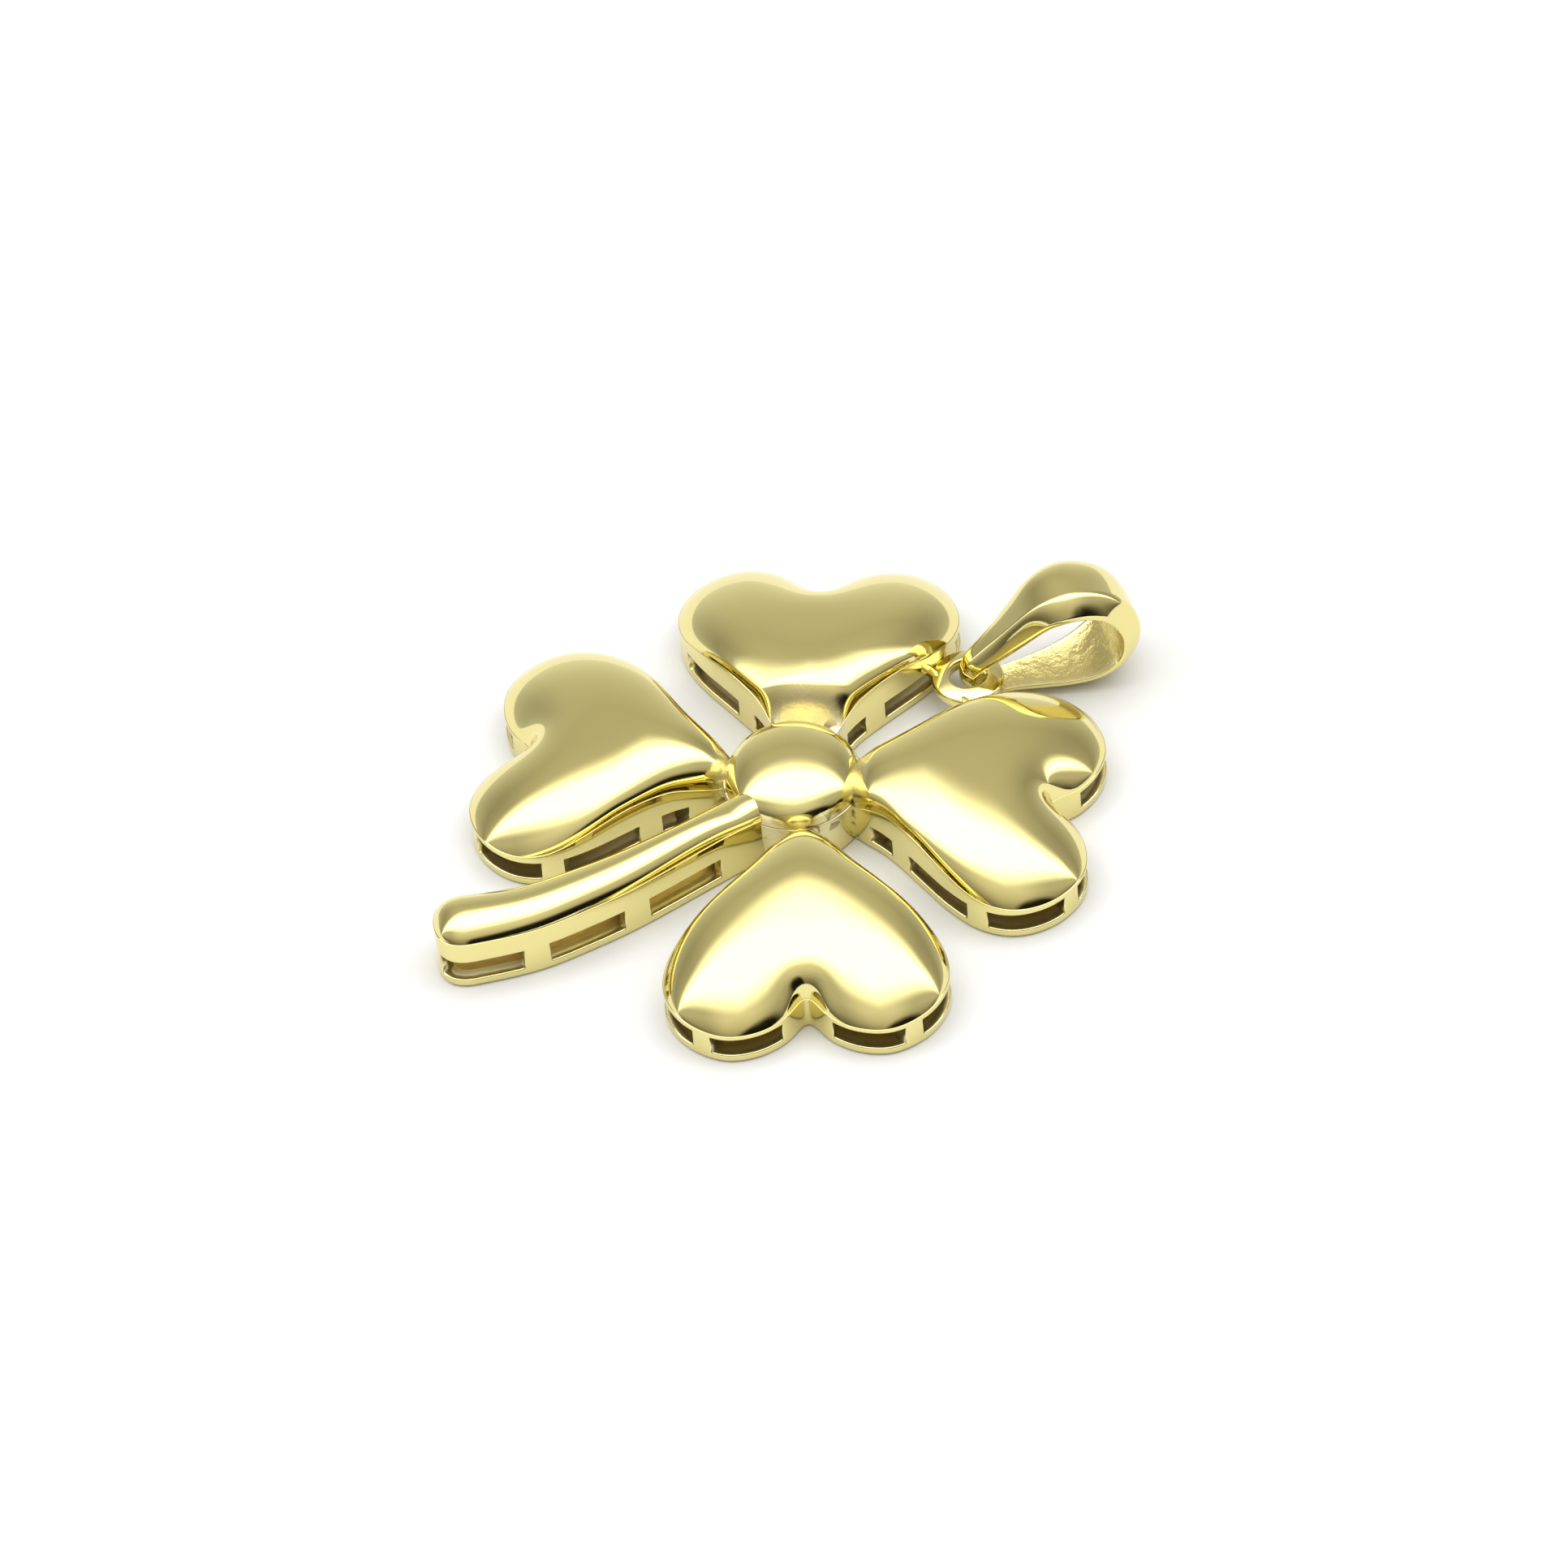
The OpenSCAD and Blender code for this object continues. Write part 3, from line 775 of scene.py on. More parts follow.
    def set_out(self, plane: np.ndarray, spot: LeafPlace) -> np.ndarray:
        """Plane points of a leaf at its place: scaled and twisted about its middle, then set out.

        Args:
            plane: points in the leaf's own frame, one row each.
            spot: the leaf's place round the dome.

        Returns:
            The points in the pendant's frame.
        """
        plane = (plane - self.mid) * spot.size
        for turn, shift in ((spot.twist, self.mid[0] + spot.out), (spot.bearing, 0.0)):
            c, s = math.cos(math.radians(turn)), math.sin(math.radians(turn))
            plane = plane @ np.array([[c, s], [-s, c]]) + (shift, 0)
        return plane

    def solder_point(self, spot: LeafPlace, side: int) -> np.ndarray:
        """Plane point in a leaf's wall where the foot of the eye ring is soldered on."""
        point, out = self.place(np.array([self.solder_at]))
        return self.set_out((point - out * self.walls.side / 2) * (1, side), spot)[0]

    def stand(self, piece: bpy.types.Object, spot: LeafPlace) -> None:
        """Moves the mesh of a leaf to its place round the dome."""
        mesh = piece.data
        points = np.empty(len(mesh.vertices) * 3, np.float32)
        mesh.vertices.foreach_get("co", points)
        points = points.reshape(-1, 3).astype(float)
        points[:, :2] = self.set_out(points[:, :2] / MM, spot) * MM
        mesh.vertices.foreach_set("co", points.astype(np.float32).ravel())
        mesh.update()


@dataclass
class Stem:
    """Curved hollow stem with a half round top, windowed walls and a rounded end."""

    length: float = 12.6
    sweep: float = 1.95  # how far the end swings aside
    half: float = 0.7  # half width at its narrowest
    end_half: float = 1.13  # half width at the rounded end
    wall_height: float = 2.12
    rise: float = 0.62  # of the rounded top over the wall
    window: float = 0.86  # height of the windows
    end_power: float = 2.4  # exponent of the end's superellipse in plan
    foot_turn: float = 22.0  # where the top's rounding starts, degrees from upright
    dome_share: float = 0.76  # share of the rise that is left at the dome
    fullness: float = 2.25  # exponent of the section's superellipse, 2 is an ellipse
    end_fullness: float = 2.4  # the same at the rounded end
    fillet: float = 0.1  # extra height of the top where it runs up the dome
    fillet_from: float = 1.8  # distance from the dome's middle where it starts to fade
    fillet_long: float = 1.3  # length of that fade
    step: float = 1 / 20  # longest step between columns, in control point steps
    walls: Walls = field(default_factory=Walls)
    # middle line: share of the sweep, of the length, of the flare and of the wall height
    line: tuple[tuple[float, float, float, float], ...] = (
        (0.17, 0.09, 0.07, 0.88), (0.14, 0.24, 0.0, 1.01), (0.08, 0.37, 0.03, 1.02),
        (-0.08, 0.57, 0.36, 1.0), (-0.285, 0.73, 0.57, 1.0), (-0.53, 0.86, 0.75, 1.0),
        (-1.00, 1.00, 1.0, 1.0))
    # windows of one side: start and end along the middle line and round the end
    openings: tuple[tuple[float, float], ...] = ((1.56, 2.82), (3.22, 4.70), (5.16, 6.70))

    def __post_init__(self) -> None:
        """Works out the middle line's control points: x, y, half width and wall height."""
        rows = np.array(self.line)
        self.points = np.stack([
            rows[:, 0] * self.sweep, -rows[:, 1] * self.length,
            self.half + rows[:, 2] * (self.end_half - self.half), rows[:, 3] * self.wall_height], 1)
        self.last = len(rows) - 1

    def section(self, v: np.ndarray) -> tuple[np.ndarray, np.ndarray, np.ndarray]:
        """Middle line rows, run directions and directions to the left, at places v."""
        u = np.clip(v, 0, self.last)
        mid = open_line(self.points, u)
        run = (open_line(self.points, np.minimum(u + 0.02, self.last))
               - open_line(self.points, np.maximum(u - 0.02, 0)))[:, :2]
        run /= np.linalg.norm(run, axis=1, keepdims=True)
        return mid, run, left_of(run)

    def fold(self, t: np.ndarray) -> np.ndarray:
        """Places along the middle line for places on the wall, which goes there and back."""
        return np.where(t <= self.last + 1, t, 2 * (self.last + 1) - t)

    def wall(self, t: np.ndarray, inset: float) -> tuple[np.ndarray, np.ndarray]:
        """Plane points and outward directions of the wall.

        The wall runs from the dome down one side, round the end, which is a superellipse, and
        back up the other side.

        Args:
            t: places, from 0 at the dome to twice the last place plus one at the dome again.
            inset: distance inwards.

        Returns:
            Points and outward directions, one row each.
        """
        v = self.fold(t)
        side = np.where(t <= self.last + 1, 1.0, -1.0)[:, None]
        mid, run, left = self.section(v)
        turn = np.clip(v - self.last, 0, 1)[:, None] * np.pi / 2
        x = np.clip(np.cos(turn), 0, 1) ** (2 / self.end_power)
        y = np.clip(np.sin(turn), 0, 1) ** (2 / self.end_power)
        point = mid[:, :2] + (left * side * x + run * y) * (mid[:, 2:3] - inset)
        out = left * side * x ** (self.end_power - 1) + run * y ** (self.end_power - 1)
        return point, out / np.linalg.norm(out, axis=1, keepdims=True)

    def roof(self, t: np.ndarray, inset: float, rise: float, steps: int, first: float
             ) -> np.ndarray:
        """Rings of the rounded top.

        Plan by the cosine and height by the sine of a turn, both to a power under one, so the
        section is a superellipse. The rise falls off where the stem meets the dome.

        Args:
            t: columns' places on the wall.
            inset: how far inside the wall's face the top starts.
            rise: the top's rise over the wall's border.
            steps: number of steps up to the ridge.
            first: turn at which the top starts, degrees, which keeps its foot short of upright.

        Returns:
            Rings by columns by x, y and z.
        """
        v = self.fold(t)
        mid, edge = self.section(v)[0], self.wall(t, inset)[0]
        full = self.fullness + (self.end_fullness - self.fullness) * ease(v - self.last)
        power = (2 / full)[None, :, None]
        start = math.radians(first)
        turn = (start + np.arange(0, steps + 1) / steps * (np.pi / 2 - start))[:, None, None]
        across = (np.clip(np.cos(turn), 0, 1) / math.cos(start)) ** power
        low = math.sin(start) ** power
        plan = mid[None, :, :2] + (edge - mid[:, :2])[None] * across
        share = self.dome_share + (1 - self.dome_share) * ease(v / 2.2 - 0.15)
        tall = mid[None, :, 3:] + (rise * share)[:, None] * (np.sin(turn) ** power - low) / (1 - low)
        if inset < self.walls.side / 2:
            away = np.linalg.norm(plan, axis=2, keepdims=True)
            near = 1 - ease((away - self.fillet_from) / self.fillet_long)
            tall += self.fillet * near * (1 - across ** 2)
        return np.concatenate([plan, tall], 2)

    def build(self) -> bpy.types.Object:
        """Makes the stem.

        Returns:
            The new object.
        """
        def speed_at(at: float) -> float:
            """Millimetres of wall per step of place."""
            pair = self.wall(np.array([at - 0.01, at + 0.01]), 0)[0]
            return float(np.linalg.norm(pair[1] - pair[0])) / 0.02

        outer_t, inner_t, windows = window_columns(
            self.openings, self.last + 1.0, self.step, self.walls.soft, False, speed_at)
        outer, outward = self.wall(outer_t, 0)
        thin = self.walls.side * 0.9  # the narrow stem has thinner walls
        inner = self.wall(inner_t, thin)[0]
        sill = self.walls.back + self.walls.rim
        mid = self.section(self.fold(outer_t))[0]
        start = np.concatenate([inner, self.section(self.fold(inner_t))[0][:, 3:]], 1)[None]
        low_roof = self.roof(inner_t, thin, self.rise - self.walls.top, 4, 0)
        shell = WindowedShell(
            outer=outer, outward=outward, inner=inner, middle=mid[:, :2], border=mid[:, 3],
            top=self.roof(outer_t, self.walls.ledge, self.rise, 24, self.foot_turn),
            ceiling=np.concatenate([start, low_roof]),
            jambs=self.walls.jambs(outer_t, inner_t, lambda t: self.wall(t, 0),
                                   sill, sill + self.window),
            windows=windows, sill=sill, lintel=sill + self.window, back=self.walls.back,
            soft=self.walls.soft, foot=self.walls.foot, lip=self.walls.lip,
            crevice=np.zeros(2), unbuffed=2.2)
        return shell.build("stem")


def turned(profile: np.ndarray, sides: int, centre: tuple[float, float, float]) -> np.ndarray:
    """Profile carried round an upright axis: x = r cos a, y = r sin a, z from the profile.

    Args:
        profile: radius and height, one row per point.
        sides: number of points round the axis.
        centre: where the axis stands, and the height that the profile's nought has.

    Returns:
        Profile points by sides by x, y and z.
    """
    angle = np.arange(sides) / sides * TURN
    r, z = profile[:, :1], profile[:, 1:]
    return np.stack([r * np.cos(angle) + centre[0], r * np.sin(angle) + centre[1],
                     np.broadcast_to(z + centre[2], (len(profile), sides))], 2)


@dataclass
class Dome:
    """Domed cap on a round collar at the middle of the clover."""

    collar: float = 2.42  # radius of the collar
    cap: float = 2.34  # radius of the cap
    collar_height: float = 1.8
    height: float = 3.1
    foot: float = 0.16  # rounding at the floor
    step: float = 0.05  # rounding of the collar's upper edge
    fullness: float = 2.35  # exponent of the cap's superellipse, 2 is an ellipse
    rawest: float = 0.72  # how raw the crevice round the cap's foot stays
    aside: tuple[float, float] = (0.05, -0.035)  # the cap sits a little off the collar's middle

    def build(self) -> bpy.types.Object:
        """Makes the dome: a turned profile with rounded edges, its cap a quarter superellipse.

        Returns:
            The new object.
        """
        turn = np.radians(np.linspace(0, 90, 5))
        foot = np.stack([self.collar - self.foot * (1 - np.sin(turn)),
                         self.foot * (1 - np.cos(turn))], 1)
        lip = np.stack([self.collar - self.step * (1 - np.cos(turn)),
                        self.collar_height - self.step * (1 - np.sin(turn))], 1)
        round_up = np.radians(np.linspace(0, 90, 41))
        rise = self.height - self.collar_height
        full = 2 / self.fullness
        cap = np.stack([self.cap * np.clip(np.cos(round_up), 0, 1) ** full,
                        self.collar_height + rise * np.sin(round_up) ** full], 1)
        # rings on the flat under side and on the upright wall, which need no more
        lead = np.array([[0.0, 0.0], [self.collar * 0.6, 0.0]])
        wall = np.array([[self.collar, 0.5], [self.collar, self.collar_height - 0.1]])
        skin = Skin()
        grid = turned(np.concatenate([lead, foot, wall, lip, cap]), 144, (0, 0, 0))
        grid[-len(cap):, :, :2] += self.aside
        over = grid[..., 2] - self.collar_height
        mark = self.rawest * (1 - ease(over / 0.6)) * ease(over / 0.3 + 1.2)
        skin.rows(skin.add(grid, mark))
        return skin.piece("centre_dome")


@dataclass
class EyeRing:
    """Flat ring between two leaves, with rounded edges and two solder feet."""

    outer: float = 1.25
    inner: float = 0.68
    thick: float = 0.5
    centre: tuple[float, float, float] = (-0.2, 7.85, 1.08)
    edge: float = 0.09
    worn: float = 0.09  # how much lower the buffed top is at its outer edge
    solder_way: tuple[float, float] = (0.62, -0.78)  # from the eye's middle to the right foot

    def solder_point(self, side: int) -> tuple[float, float]:
        """Plane point in the ring's wire where the foot on one side ends."""
        wire = (self.outer + self.inner) / 2
        return (self.centre[0] + side * wire * self.solder_way[0],
                self.centre[1] + wire * self.solder_way[1])

    def build(self) -> bpy.types.Object:
        """Makes the ring: a rounded rectangle carried round the eye.

        Returns:
            The new object.
        """
        turn = np.radians(np.arange(0, 360, 15) + 7.5)
        half_w, half_t = (self.outer - self.inner) / 2 - self.edge, self.thick / 2 - self.edge
        across = np.sign(np.cos(turn)) * half_w + self.edge * np.cos(turn)
        tall = np.sign(np.sin(turn)) * half_t + self.edge * np.sin(turn)
        tall -= self.worn * (1 + across / half_w) / 2 * (tall > 0)
        section = np.stack([(self.outer + self.inner) / 2 + across, tall], 1)
        skin = Skin()
        grid = skin.add(turned(section, 96, self.centre))
        skin.rows(np.concatenate([grid, grid[:1]]))
        return skin.piece("eye_ring")


@dataclass
class Foot:
    """Short solder bridge from the eye ring to a leaf's wall, with rounded ends."""

    name: str
    start: tuple[float, float]
    stop: tuple[float, float]
    height: float = 1.08
    half_width: float = 0.2
    half_thick: float = 0.19
    fullness: float = 2.5  # exponent of the section's superellipse, 2 is an ellipse

    def build(self) -> bpy.types.Object:
        """Makes the bridge: a superellipse carried along a straight line, closed by round ends.

        Returns:
            The new object.
        """
        a, b = np.array(self.start), np.array(self.stop)
        run = (b - a) / np.linalg.norm(b - a)
        side = np.array([-run[1], run[0]])
        turn = np.linspace(0, np.pi, 13)
        swell = np.sin(turn)[:, None]
        reach = np.where(turn < np.pi / 2, -1, 1) * np.abs(np.cos(turn)) * self.half_width
        base = np.where((turn < np.pi / 2)[:, None], a, b) + run * reach[:, None]
        round_it = np.arange(24) / 24 * TURN
        full = 2 / self.fullness
        x = np.sign(np.cos(round_it)) * np.abs(np.cos(round_it)) ** full * self.half_width
        z = np.sign(np.sin(round_it)) * np.abs(np.sin(round_it)) ** full * self.half_thick
        grid = np.concatenate([
            base[:, None] + side * (swell * x)[..., None],
            (self.height + swell * z)[..., None]], 2)
        skin = Skin()
        skin.rows(skin.add(grid))
        return skin.piece(self.name)


@dataclass
class Bail:
    """Tapering strip bent round into a loop that hooks through the eye ring."""

    length: float = 6.55
    loop: float = 4.78  # height of the loop
    width: float = 2.68
    tip_width: float = 0.94
    thick: float = 0.8
    tip_thick: float = 0.4
    rim: float = 0.42  # thickness of the rims, share of the strip's
    hook: float = 0.78  # from the hinge to the inside of the hook, before wear
    worn: float = 0.04  # how much thinner the eye ring has worn the strip at the hook
    turn: float = 22.0  # how far the bail points off +Y, degrees
    ridge: float = 0.52  # where the ridge lies across the strip, share of half the width
    bend: float = 0.6  # how round the ridge is
    lift: float = 24.03  # how far the bail stands up, degrees
    hinge: tuple[float, float, float] = (0.1615, 8.7447, 1.08)
    corner: float = 0.05  # rounding of the inner edges
    fair: float = 0.3  # width of the low pass over the outline, in control point steps
    per: int = 48
    # outline: share of the length from the hook, upper and lower share of half the loop
    half: tuple[tuple[float, float, float], ...] = (
        (0.000, 0.00, 0.00), (0.014, 0.26, 0.15), (0.085, 0.49, 0.29), (0.190, 0.60, 0.42),
        (0.305, 0.71, 0.61), (0.440, 0.87, 0.81), (0.610, 1.04, 0.96), (0.790, 0.96, 0.91),
        (0.920, 0.66, 0.65), (0.985, 0.32, 0.32), (1.000, 0.00, 0.00))
    # inner face from its rim to its middle: share of half the width, hollow as a share of the
    # rim's thickness, and how raw it is
    inside: tuple[tuple[float, float, float], ...] = (
        (0.975, 0.0, 0.15), (0.93, 0.03, 0.8), (0.8, 0.12, 1.0), (0.55, 0.2, 1.0),
        (0.25, 0.24, 1.0), (0.0, 0.24, 1.0))

    def build(self) -> bpy.types.Object:
        """Makes the bail.

        Each section is a D with its ridge near the right edge: outside it falls off gently to the
        left, by a fifth power, and steeply to the right, by a hyperbola. The rims are thin and the
        inner face is slightly hollowed. Width and thickness grow from the hook to the far end by a
        sine. The line of sections is tilted up by the lift and turned off +Y by the turn.

        Returns:
            The new object.
        """
        rows = np.array(self.half)
        hook = self.hook + self.tip_thick
        up = np.stack([rows[:, 0] * self.length - hook, rows[:, 1] * self.loop / 2], 1)
        down = np.stack([rows[:, 0] * self.length - hook, -rows[:, 2] * self.loop / 2], 1)[-2:0:-1]
        control = np.concatenate([up, down])
        line = closed_line(control, self.per, self.fair)
        u = np.arange(0, len(control), 1 / 16)
        point = along(line, u, self.per)
        out = left_of(along(line, u + 0.04, self.per) - along(line, u - 0.04, self.per))
        share = np.clip((point[:, 0] + hook) / self.length, 0, 1)
        grow = np.sin(np.pi / 2 * np.clip(share / 0.85, 0, 1)) ** 1.8
        wide = (self.tip_width + (self.width - self.tip_width) * grow) / 2
        fill = np.sin(np.pi / 2 * np.clip(share / 0.8, 0, 1))
        deep = self.tip_thick + (self.thick - self.tip_thick) * fill - self.worn * (1 - grow)
        rim = deep * self.rim

        arc = np.concatenate([np.linspace(1, 0, 25), np.linspace(0, -1, 16)[1:]])
        ridge = self.ridge * (0.25 + 0.75 * grow)
        across = [c * wide for c in arc]
        dip = []
        for c in arc:
            far = (deep - rim) * (np.maximum(ridge - c, 0) / (ridge + 1)) ** 5
            near = np.hypot(np.maximum(c - ridge, 0) / (1 - ridge), self.bend) - self.bend
            fall = deep - rim * (0.75 - 0.27 * grow)
            dip.append(far + fall * near / (math.hypot(1, self.bend) - self.bend))
        raw = [0.0] * len(arc)
        corner = np.minimum(self.corner * 2.2, rim * 0.42)  # its steep part, within the rim
        inner = [(1.0, deep - corner, 0.0), (1.0, deep - self.corner, 0.0),
                 (0.995, deep - self.corner * 0.3, 0.0)]
        inner += [(reach, deep - hollow * rim, mark) for reach, hollow, mark in self.inside]
        way_back = [(-reach, depth, mark) for reach, depth, mark in inner]
        for reach, depth, mark in way_back[:-1] + inner[::-1]:
            across.append(reach * wide)
            dip.append(depth)
            raw.append(mark)
        across, dip = np.array(across), np.array(dip)
        y = point[:, 0] - out[:, 0] * dip
        z = point[:, 1] - out[:, 1] * dip
        tilt, yaw = math.radians(self.lift), math.radians(-self.turn)
        y, z = y * math.cos(tilt) - z * math.sin(tilt), y * math.sin(tilt) + z * math.cos(tilt)
        x, y = (across * math.cos(yaw) - y * math.sin(yaw),
                across * math.sin(yaw) + y * math.cos(yaw))
        grid = np.stack([x + self.hinge[0], y + self.hinge[1], z + self.hinge[2]], 2)
        skin = Skin()
        numbers = skin.add(grid, np.array(raw)[:, None])
        skin.rows(np.concatenate([numbers, numbers[:1]]))
        return skin.piece("bail_loop")


# ---- studio ----


@dataclass
class Studio:
    """Pale floor, soft light all round and the camera at the photograph's angle."""

    azimuth: float = 55.45  # camera's bearing, degrees from the front to the right
    elevation: float = 47.55  # its height over the floor, degrees
    roll: float = 5.0
    distance: float = 350.0
    focal: float = 12512.0  # in pixels of the 1932 pixel frame
    frame_px: float = 1932.0
    aim_px: tuple[float, float] = (992.6, 1002.3)  # where the aim lies in the frame
    aim: tuple[float, float] = (0.226, 0.234)  # plane point aimed at
    # soft box: its far and near edge in degrees from the zenith towards the back, half the width
    # of the edge's fade, and how much the edge falls per degree to the side
    box_far: tuple[float, float, float] = (33.0, 10.0, 0.33)
    box_near: tuple[float, float, float] = (-25.0, 18.0, -0.28)
    box_power: float = 3.0
    side_from: float = 10.0  # where the cloths start to darken to the side, degrees
    side_to: float = 48.0  # where they are darkest
    side_shade: float = 0.66  # their light there
    # dark gap between the front cloths: degrees from the back to the right, half its width and
    # its height over the floor, each with half the width of its fade, and the light left in it
    gap_bearing: float = 152.0
    gap_wide: tuple[float, float] = (27.0, 6.0)
    gap_tall: tuple[float, float] = (27.0, 9.0)
    gap_light: float = 0.04
    # cloth tones from the front floor line over the zenith to the back floor line
    cloths: tuple[tuple[float, str], ...] = (
        (-90, "6e6a62"), (-76, "a29c92"), (-62, "cfc9be"), (-42, "f0ece4"), (0, "f2f0ea"),
        (40, "cbc7be"), (50, "c3bfb5"), (66, "d6d4ce"), (90, "f4f4f4"))

    def camera(self) -> None:
        """Makes the camera from its bearing, its height, its roll and the point it aims at."""
        a, e, r = (math.radians(v) for v in (self.azimuth, self.elevation, self.roll))
        back = np.array([math.sin(a) * math.cos(e), -math.cos(a) * math.cos(e), math.sin(e)])
        right = np.array([math.cos(a), math.sin(a), 0.0])
        axes = np.array([right, np.cross(back, right), back])
        tilt = np.array([[math.cos(r), -math.sin(r), 0], [math.sin(r), math.cos(r), 0], [0, 0, 1]])
        axes = tilt @ axes
        centre = self.frame_px / 2
        offset = np.array([(self.aim_px[0] - centre) / self.focal * self.distance,
                           -(self.aim_px[1] - centre) / self.focal * self.distance, -self.distance])
        place = -axes.T @ offset + (*self.aim, 0)
        data = bpy.data.cameras.new("camera")
        data.sensor_width = 36.0
        data.lens = self.focal / self.frame_px * data.sensor_width
        data.clip_start, data.clip_end = 0.01, 5.0
        camera = bpy.data.objects.new("camera", data)
        bpy.context.scene.collection.objects.link(camera)
        turn = np.eye(4)
        turn[:3, :3] = axes.T
        turn[:3, 3] = place * MM
        camera.matrix_world = Matrix(turn.tolist())
        bpy.context.scene.camera = camera

    def floor(self) -> None:
        """Makes the pale floor."""
        data = bpy.data.meshes.new("floor")
        half, low = 0.6, -1e-5  # metres, a hair under the back, so that the two don't coincide
        data.from_pydata([(-half, -half, low), (half, -half, low),
                          (half, half, low), (-half, half, low)], [], [(0, 1, 2, 3)])
        paper = bpy.data.materials.new("matt_white_paper")
        paper.use_nodes = True
        tree = paper.node_tree
        tree.nodes.clear()
        shader = node(tree, "BsdfDiffuse", None, {"Color": linear("e4e5e6")})
        node(tree, "OutputMaterial", None, {"Surface": shader.outputs["BSDF"]})
        data.materials.append(paper)
        floor = bpy.data.objects.new("floor", data)
        bpy.context.scene.collection.objects.link(floor)

    def light(self) -> None:
        """Sets the light all round: an overhead soft box, cloths round it and one dark gap.

        The soft box runs from left to right over the pendant. A direction is read by its angle
        from the zenith towards the back, atan2(back, up), and by its angle to the side,
        asin(right), so the box's edges are straight lines and the cloths fade by height. The gap
        is read by its angle from the gap's bearing, acos(ahead), and over the floor, asin(up).
        """
        world = bpy.data.worlds.new("studio")
        bpy.context.scene.world = world
        world.use_nodes = True
        tree = world.node_tree
        tree.nodes.clear()
        ray = node(tree, "TexCoord").outputs["Generated"]
        up = node(tree, "SeparateXYZ", None, {0: ray}).outputs["Z"]
        right = math.radians(self.azimuth)
        side, back, ahead = (
            node(tree, "VectorMath", {"operation": "DOT_PRODUCT"}, {
                0: ray, 1: (math.cos(turn), math.sin(turn), 0.0)}).outputs["Value"]
            for turn in (right, right + math.pi / 2,
                         right + math.pi / 2 - math.radians(self.gap_bearing)))
        over = node(tree, "Math", {"operation": "ARCTAN2"}, {0: back, 1: up}).outputs[0]
        aside = node(tree, "Math", {"operation": "ARCSINE"}, {0: side}).outputs[0]
        apart = node(tree, "Math", {"operation": "ABSOLUTE"}, {0: aside}).outputs[0]
        far, near = (
            node(tree, "Math", {"operation": "MULTIPLY_ADD"}, {0: apart, 1: fall, 2: over}).outputs[0]
            for fall in (self.box_far[2], self.box_near[2]))
        off = node(tree, "Math", {"operation": "ARCCOSINE"}, {0: ahead}).outputs[0]
        rise = node(tree, "Math", {"operation": "ARCSINE"}, {0: up}).outputs[0]
        # smooth steps of an angle, from one light at the first degrees to another at the second
        in_far, in_near, shaded, past, above = (
            node(tree, "MapRange", {"interpolation_type": "SMOOTHSTEP"}, {
                "Value": angle, "From Min": math.radians(start), "From Max": math.radians(stop),
                "To Min": first, "To Max": second}).outputs[0]
            for angle, start, stop, first, second in (
                (far, self.box_far[0] - self.box_far[1], self.box_far[0] + self.box_far[1], 1.0, 0.0),
                (near, self.box_near[0] - self.box_near[1], self.box_near[0] + self.box_near[1],
                 0.0, 1.0),
                (apart, self.side_from, self.side_to, 1.0, self.side_shade),
                (off, self.gap_wide[0] - self.gap_wide[1], self.gap_wide[0] + self.gap_wide[1],
                 self.gap_light, 1.0),
                (rise, self.gap_tall[0] - self.gap_tall[1], self.gap_tall[0] + self.gap_tall[1],
                 self.gap_light, 1.0)))
        box = node(tree, "Math", {"operation": "MULTIPLY"}, {0: in_far, 1: in_near}).outputs[0]
        cloth = node(tree, "ValToRGB", None, {0: node(tree, "MapRange", None, {
            "Value": over, "From Min": -math.pi / 2, "From Max": math.pi / 2}).outputs[0]})
        ramp = cloth.color_ramp
        for k, (angle, code) in enumerate(self.cloths):
            stop = ramp.elements[k] if k < 2 else ramp.elements.new(1.0)
            stop.position, stop.color = (angle + 90) / 180, linear(code)
        shade = node(tree, "VectorMath", {"operation": "SCALE"}, {
            0: cloth.outputs[0], "Scale": shaded}).outputs[0]
        glow = node(tree, "Mix", {"data_type": "RGBA"}, {
            "Factor": box, 6: shade, 7: (*[self.box_power] * 3, 1.0)}).outputs[2]
        outside = node(tree, "Math", {"operation": "MAXIMUM"}, {0: past, 1: above}).outputs[0]
        gap = node(tree, "VectorMath", {"operation": "SCALE"}, {0: glow, "Scale": outside}).outputs[0]
        light = node(tree, "Background", None, {"Color": gap, "Strength": 1.0})
        node(tree, "OutputWorld", None, {"Surface": light.outputs[0]})

    def build(self) -> None:
        """Makes camera, floor and light, and the plain display that a white studio needs."""
        self.camera()
        self.floor()
        self.light()
        bpy.context.scene.view_settings.view_transform = "Standard"


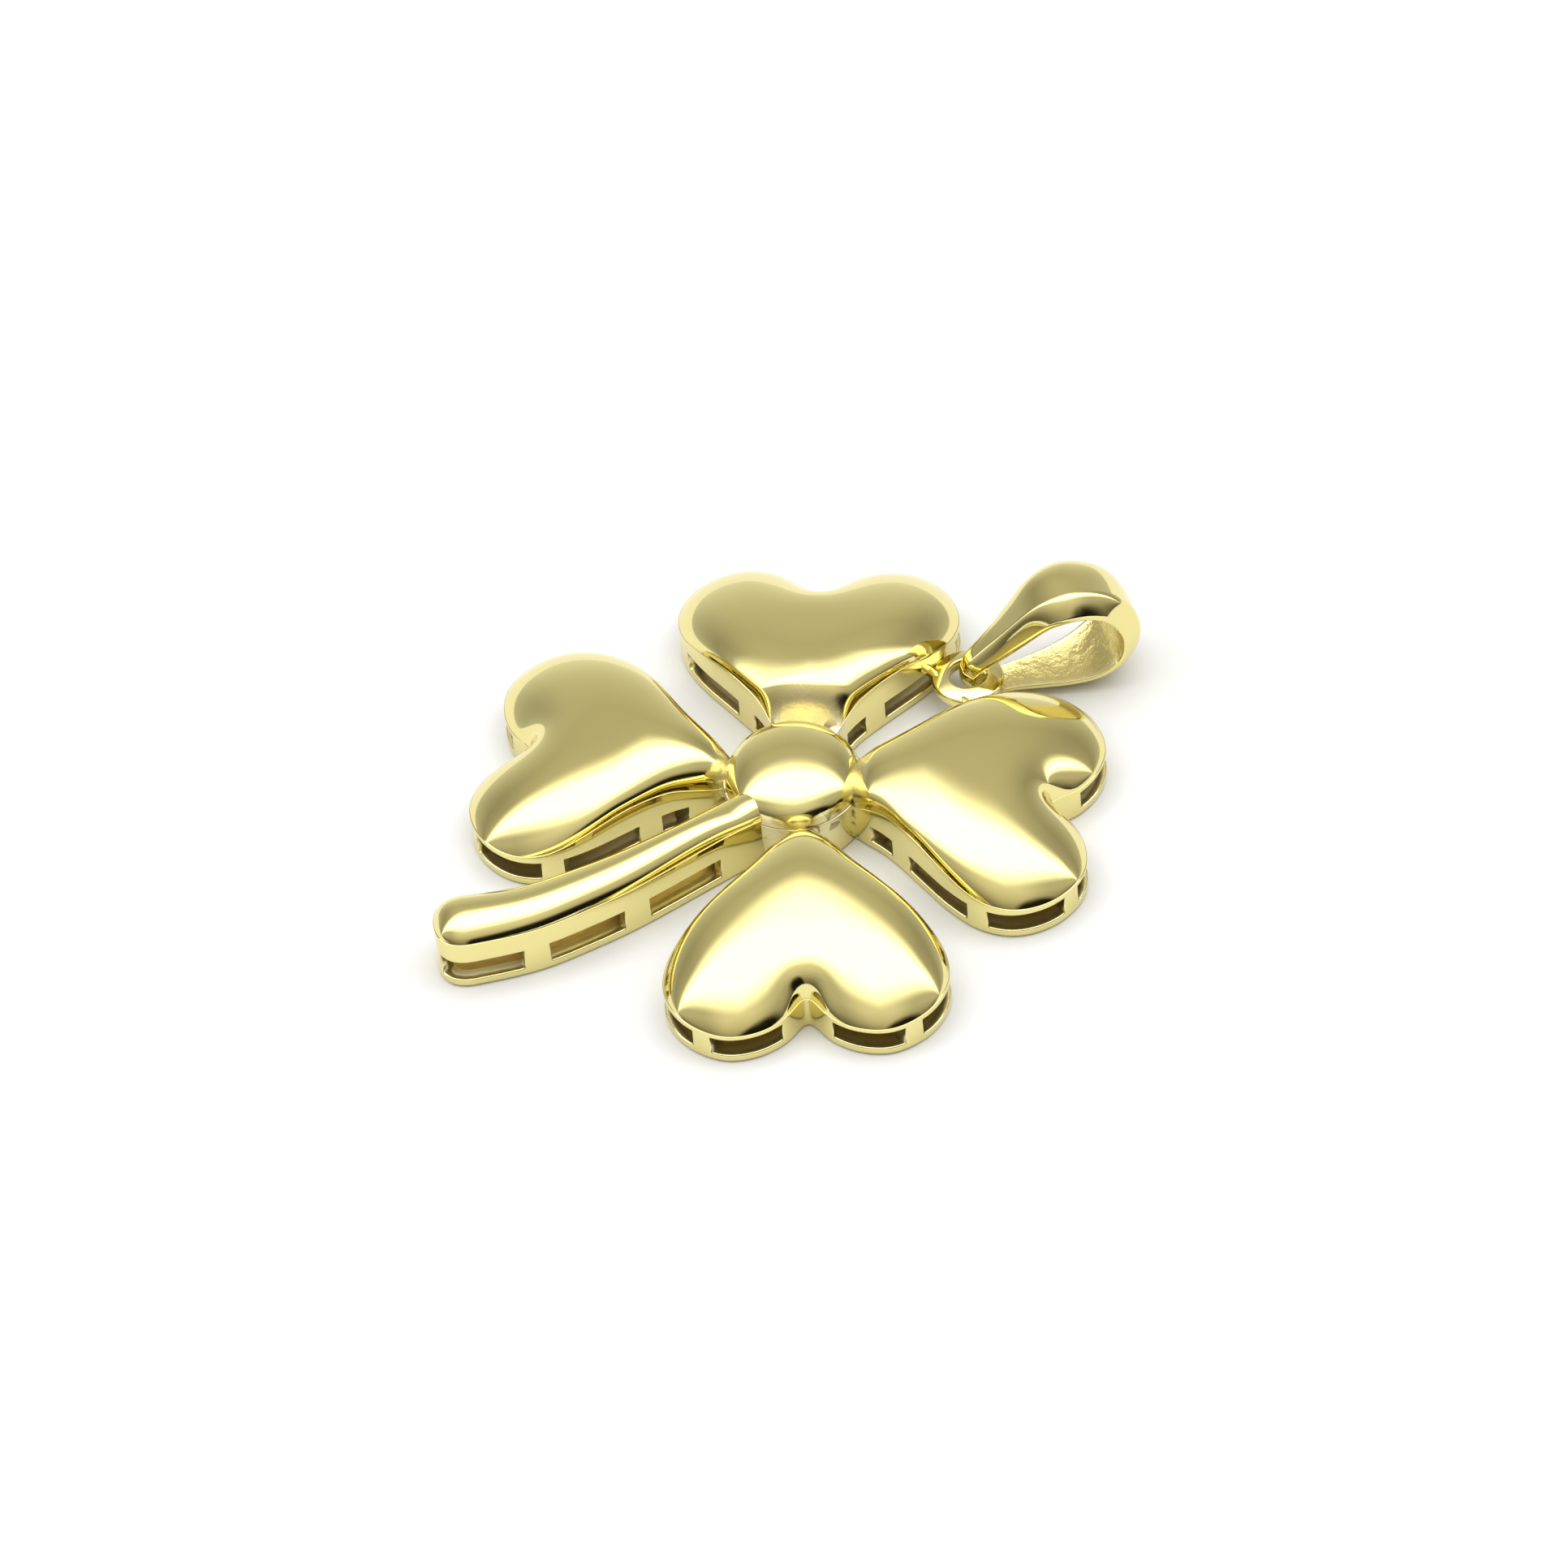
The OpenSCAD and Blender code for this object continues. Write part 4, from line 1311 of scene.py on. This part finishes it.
def main() -> None:
    """Builds the pendant piece by piece, then the studio."""
    logging.basicConfig(level=logging.INFO, format="%(name)s: %(message)s")
    gold = CastGold("buffed_yellow_gold").material()
    # the bail's inside face is painted a little deeper: painted shade
    bail_gold = CastGold("buffed_bail_gold", deep="e8d890", grain=0.26, mould_mm=0.5,
                         mould_depth_mm=0.07).material()
    leaf = Leaf()
    spots = (
        LeafPlace("leaf_eye_right", bearing=43.3, out=-0.55, twist=0.0, size=1.015,
                  fall=0.75, left=0.85, worn=0.06),
        LeafPlace("leaf_eye_left", bearing=134.8, out=-0.73, twist=2.6, size=1.0,
                  fall=1.25, left=0.0, worn=0.2),
        LeafPlace("leaf_stem_left", bearing=218.8, out=-0.06, twist=0.0, size=0.99,
                  fall=0.75, left=0.85, worn=0.2),
        LeafPlace("leaf_stem_right", bearing=324.8, out=0.32, twist=-2.3, size=0.99,
                  fall=0.75, left=0.35, worn=0.06))
    for spot in spots:
        settle(leaf.build(spot), gold, Body.CLOVER)
    settle(Stem().build(), gold, Body.CLOVER)
    settle(Dome().build(), gold, Body.CLOVER)
    ring = EyeRing()
    settle(ring.build(), gold, Body.CLOVER)
    for name, spot, side in (("solder_foot_right", spots[0], 1), ("solder_foot_left", spots[1], -1)):
        foot = Foot(name, tuple(leaf.solder_point(spot, side)), ring.solder_point(side))
        settle(foot.build(), gold, Body.CLOVER)
    settle(Bail().build(), bail_gold, Body.BAIL)
    Studio().build()


if __name__ == "__main__":
    main()
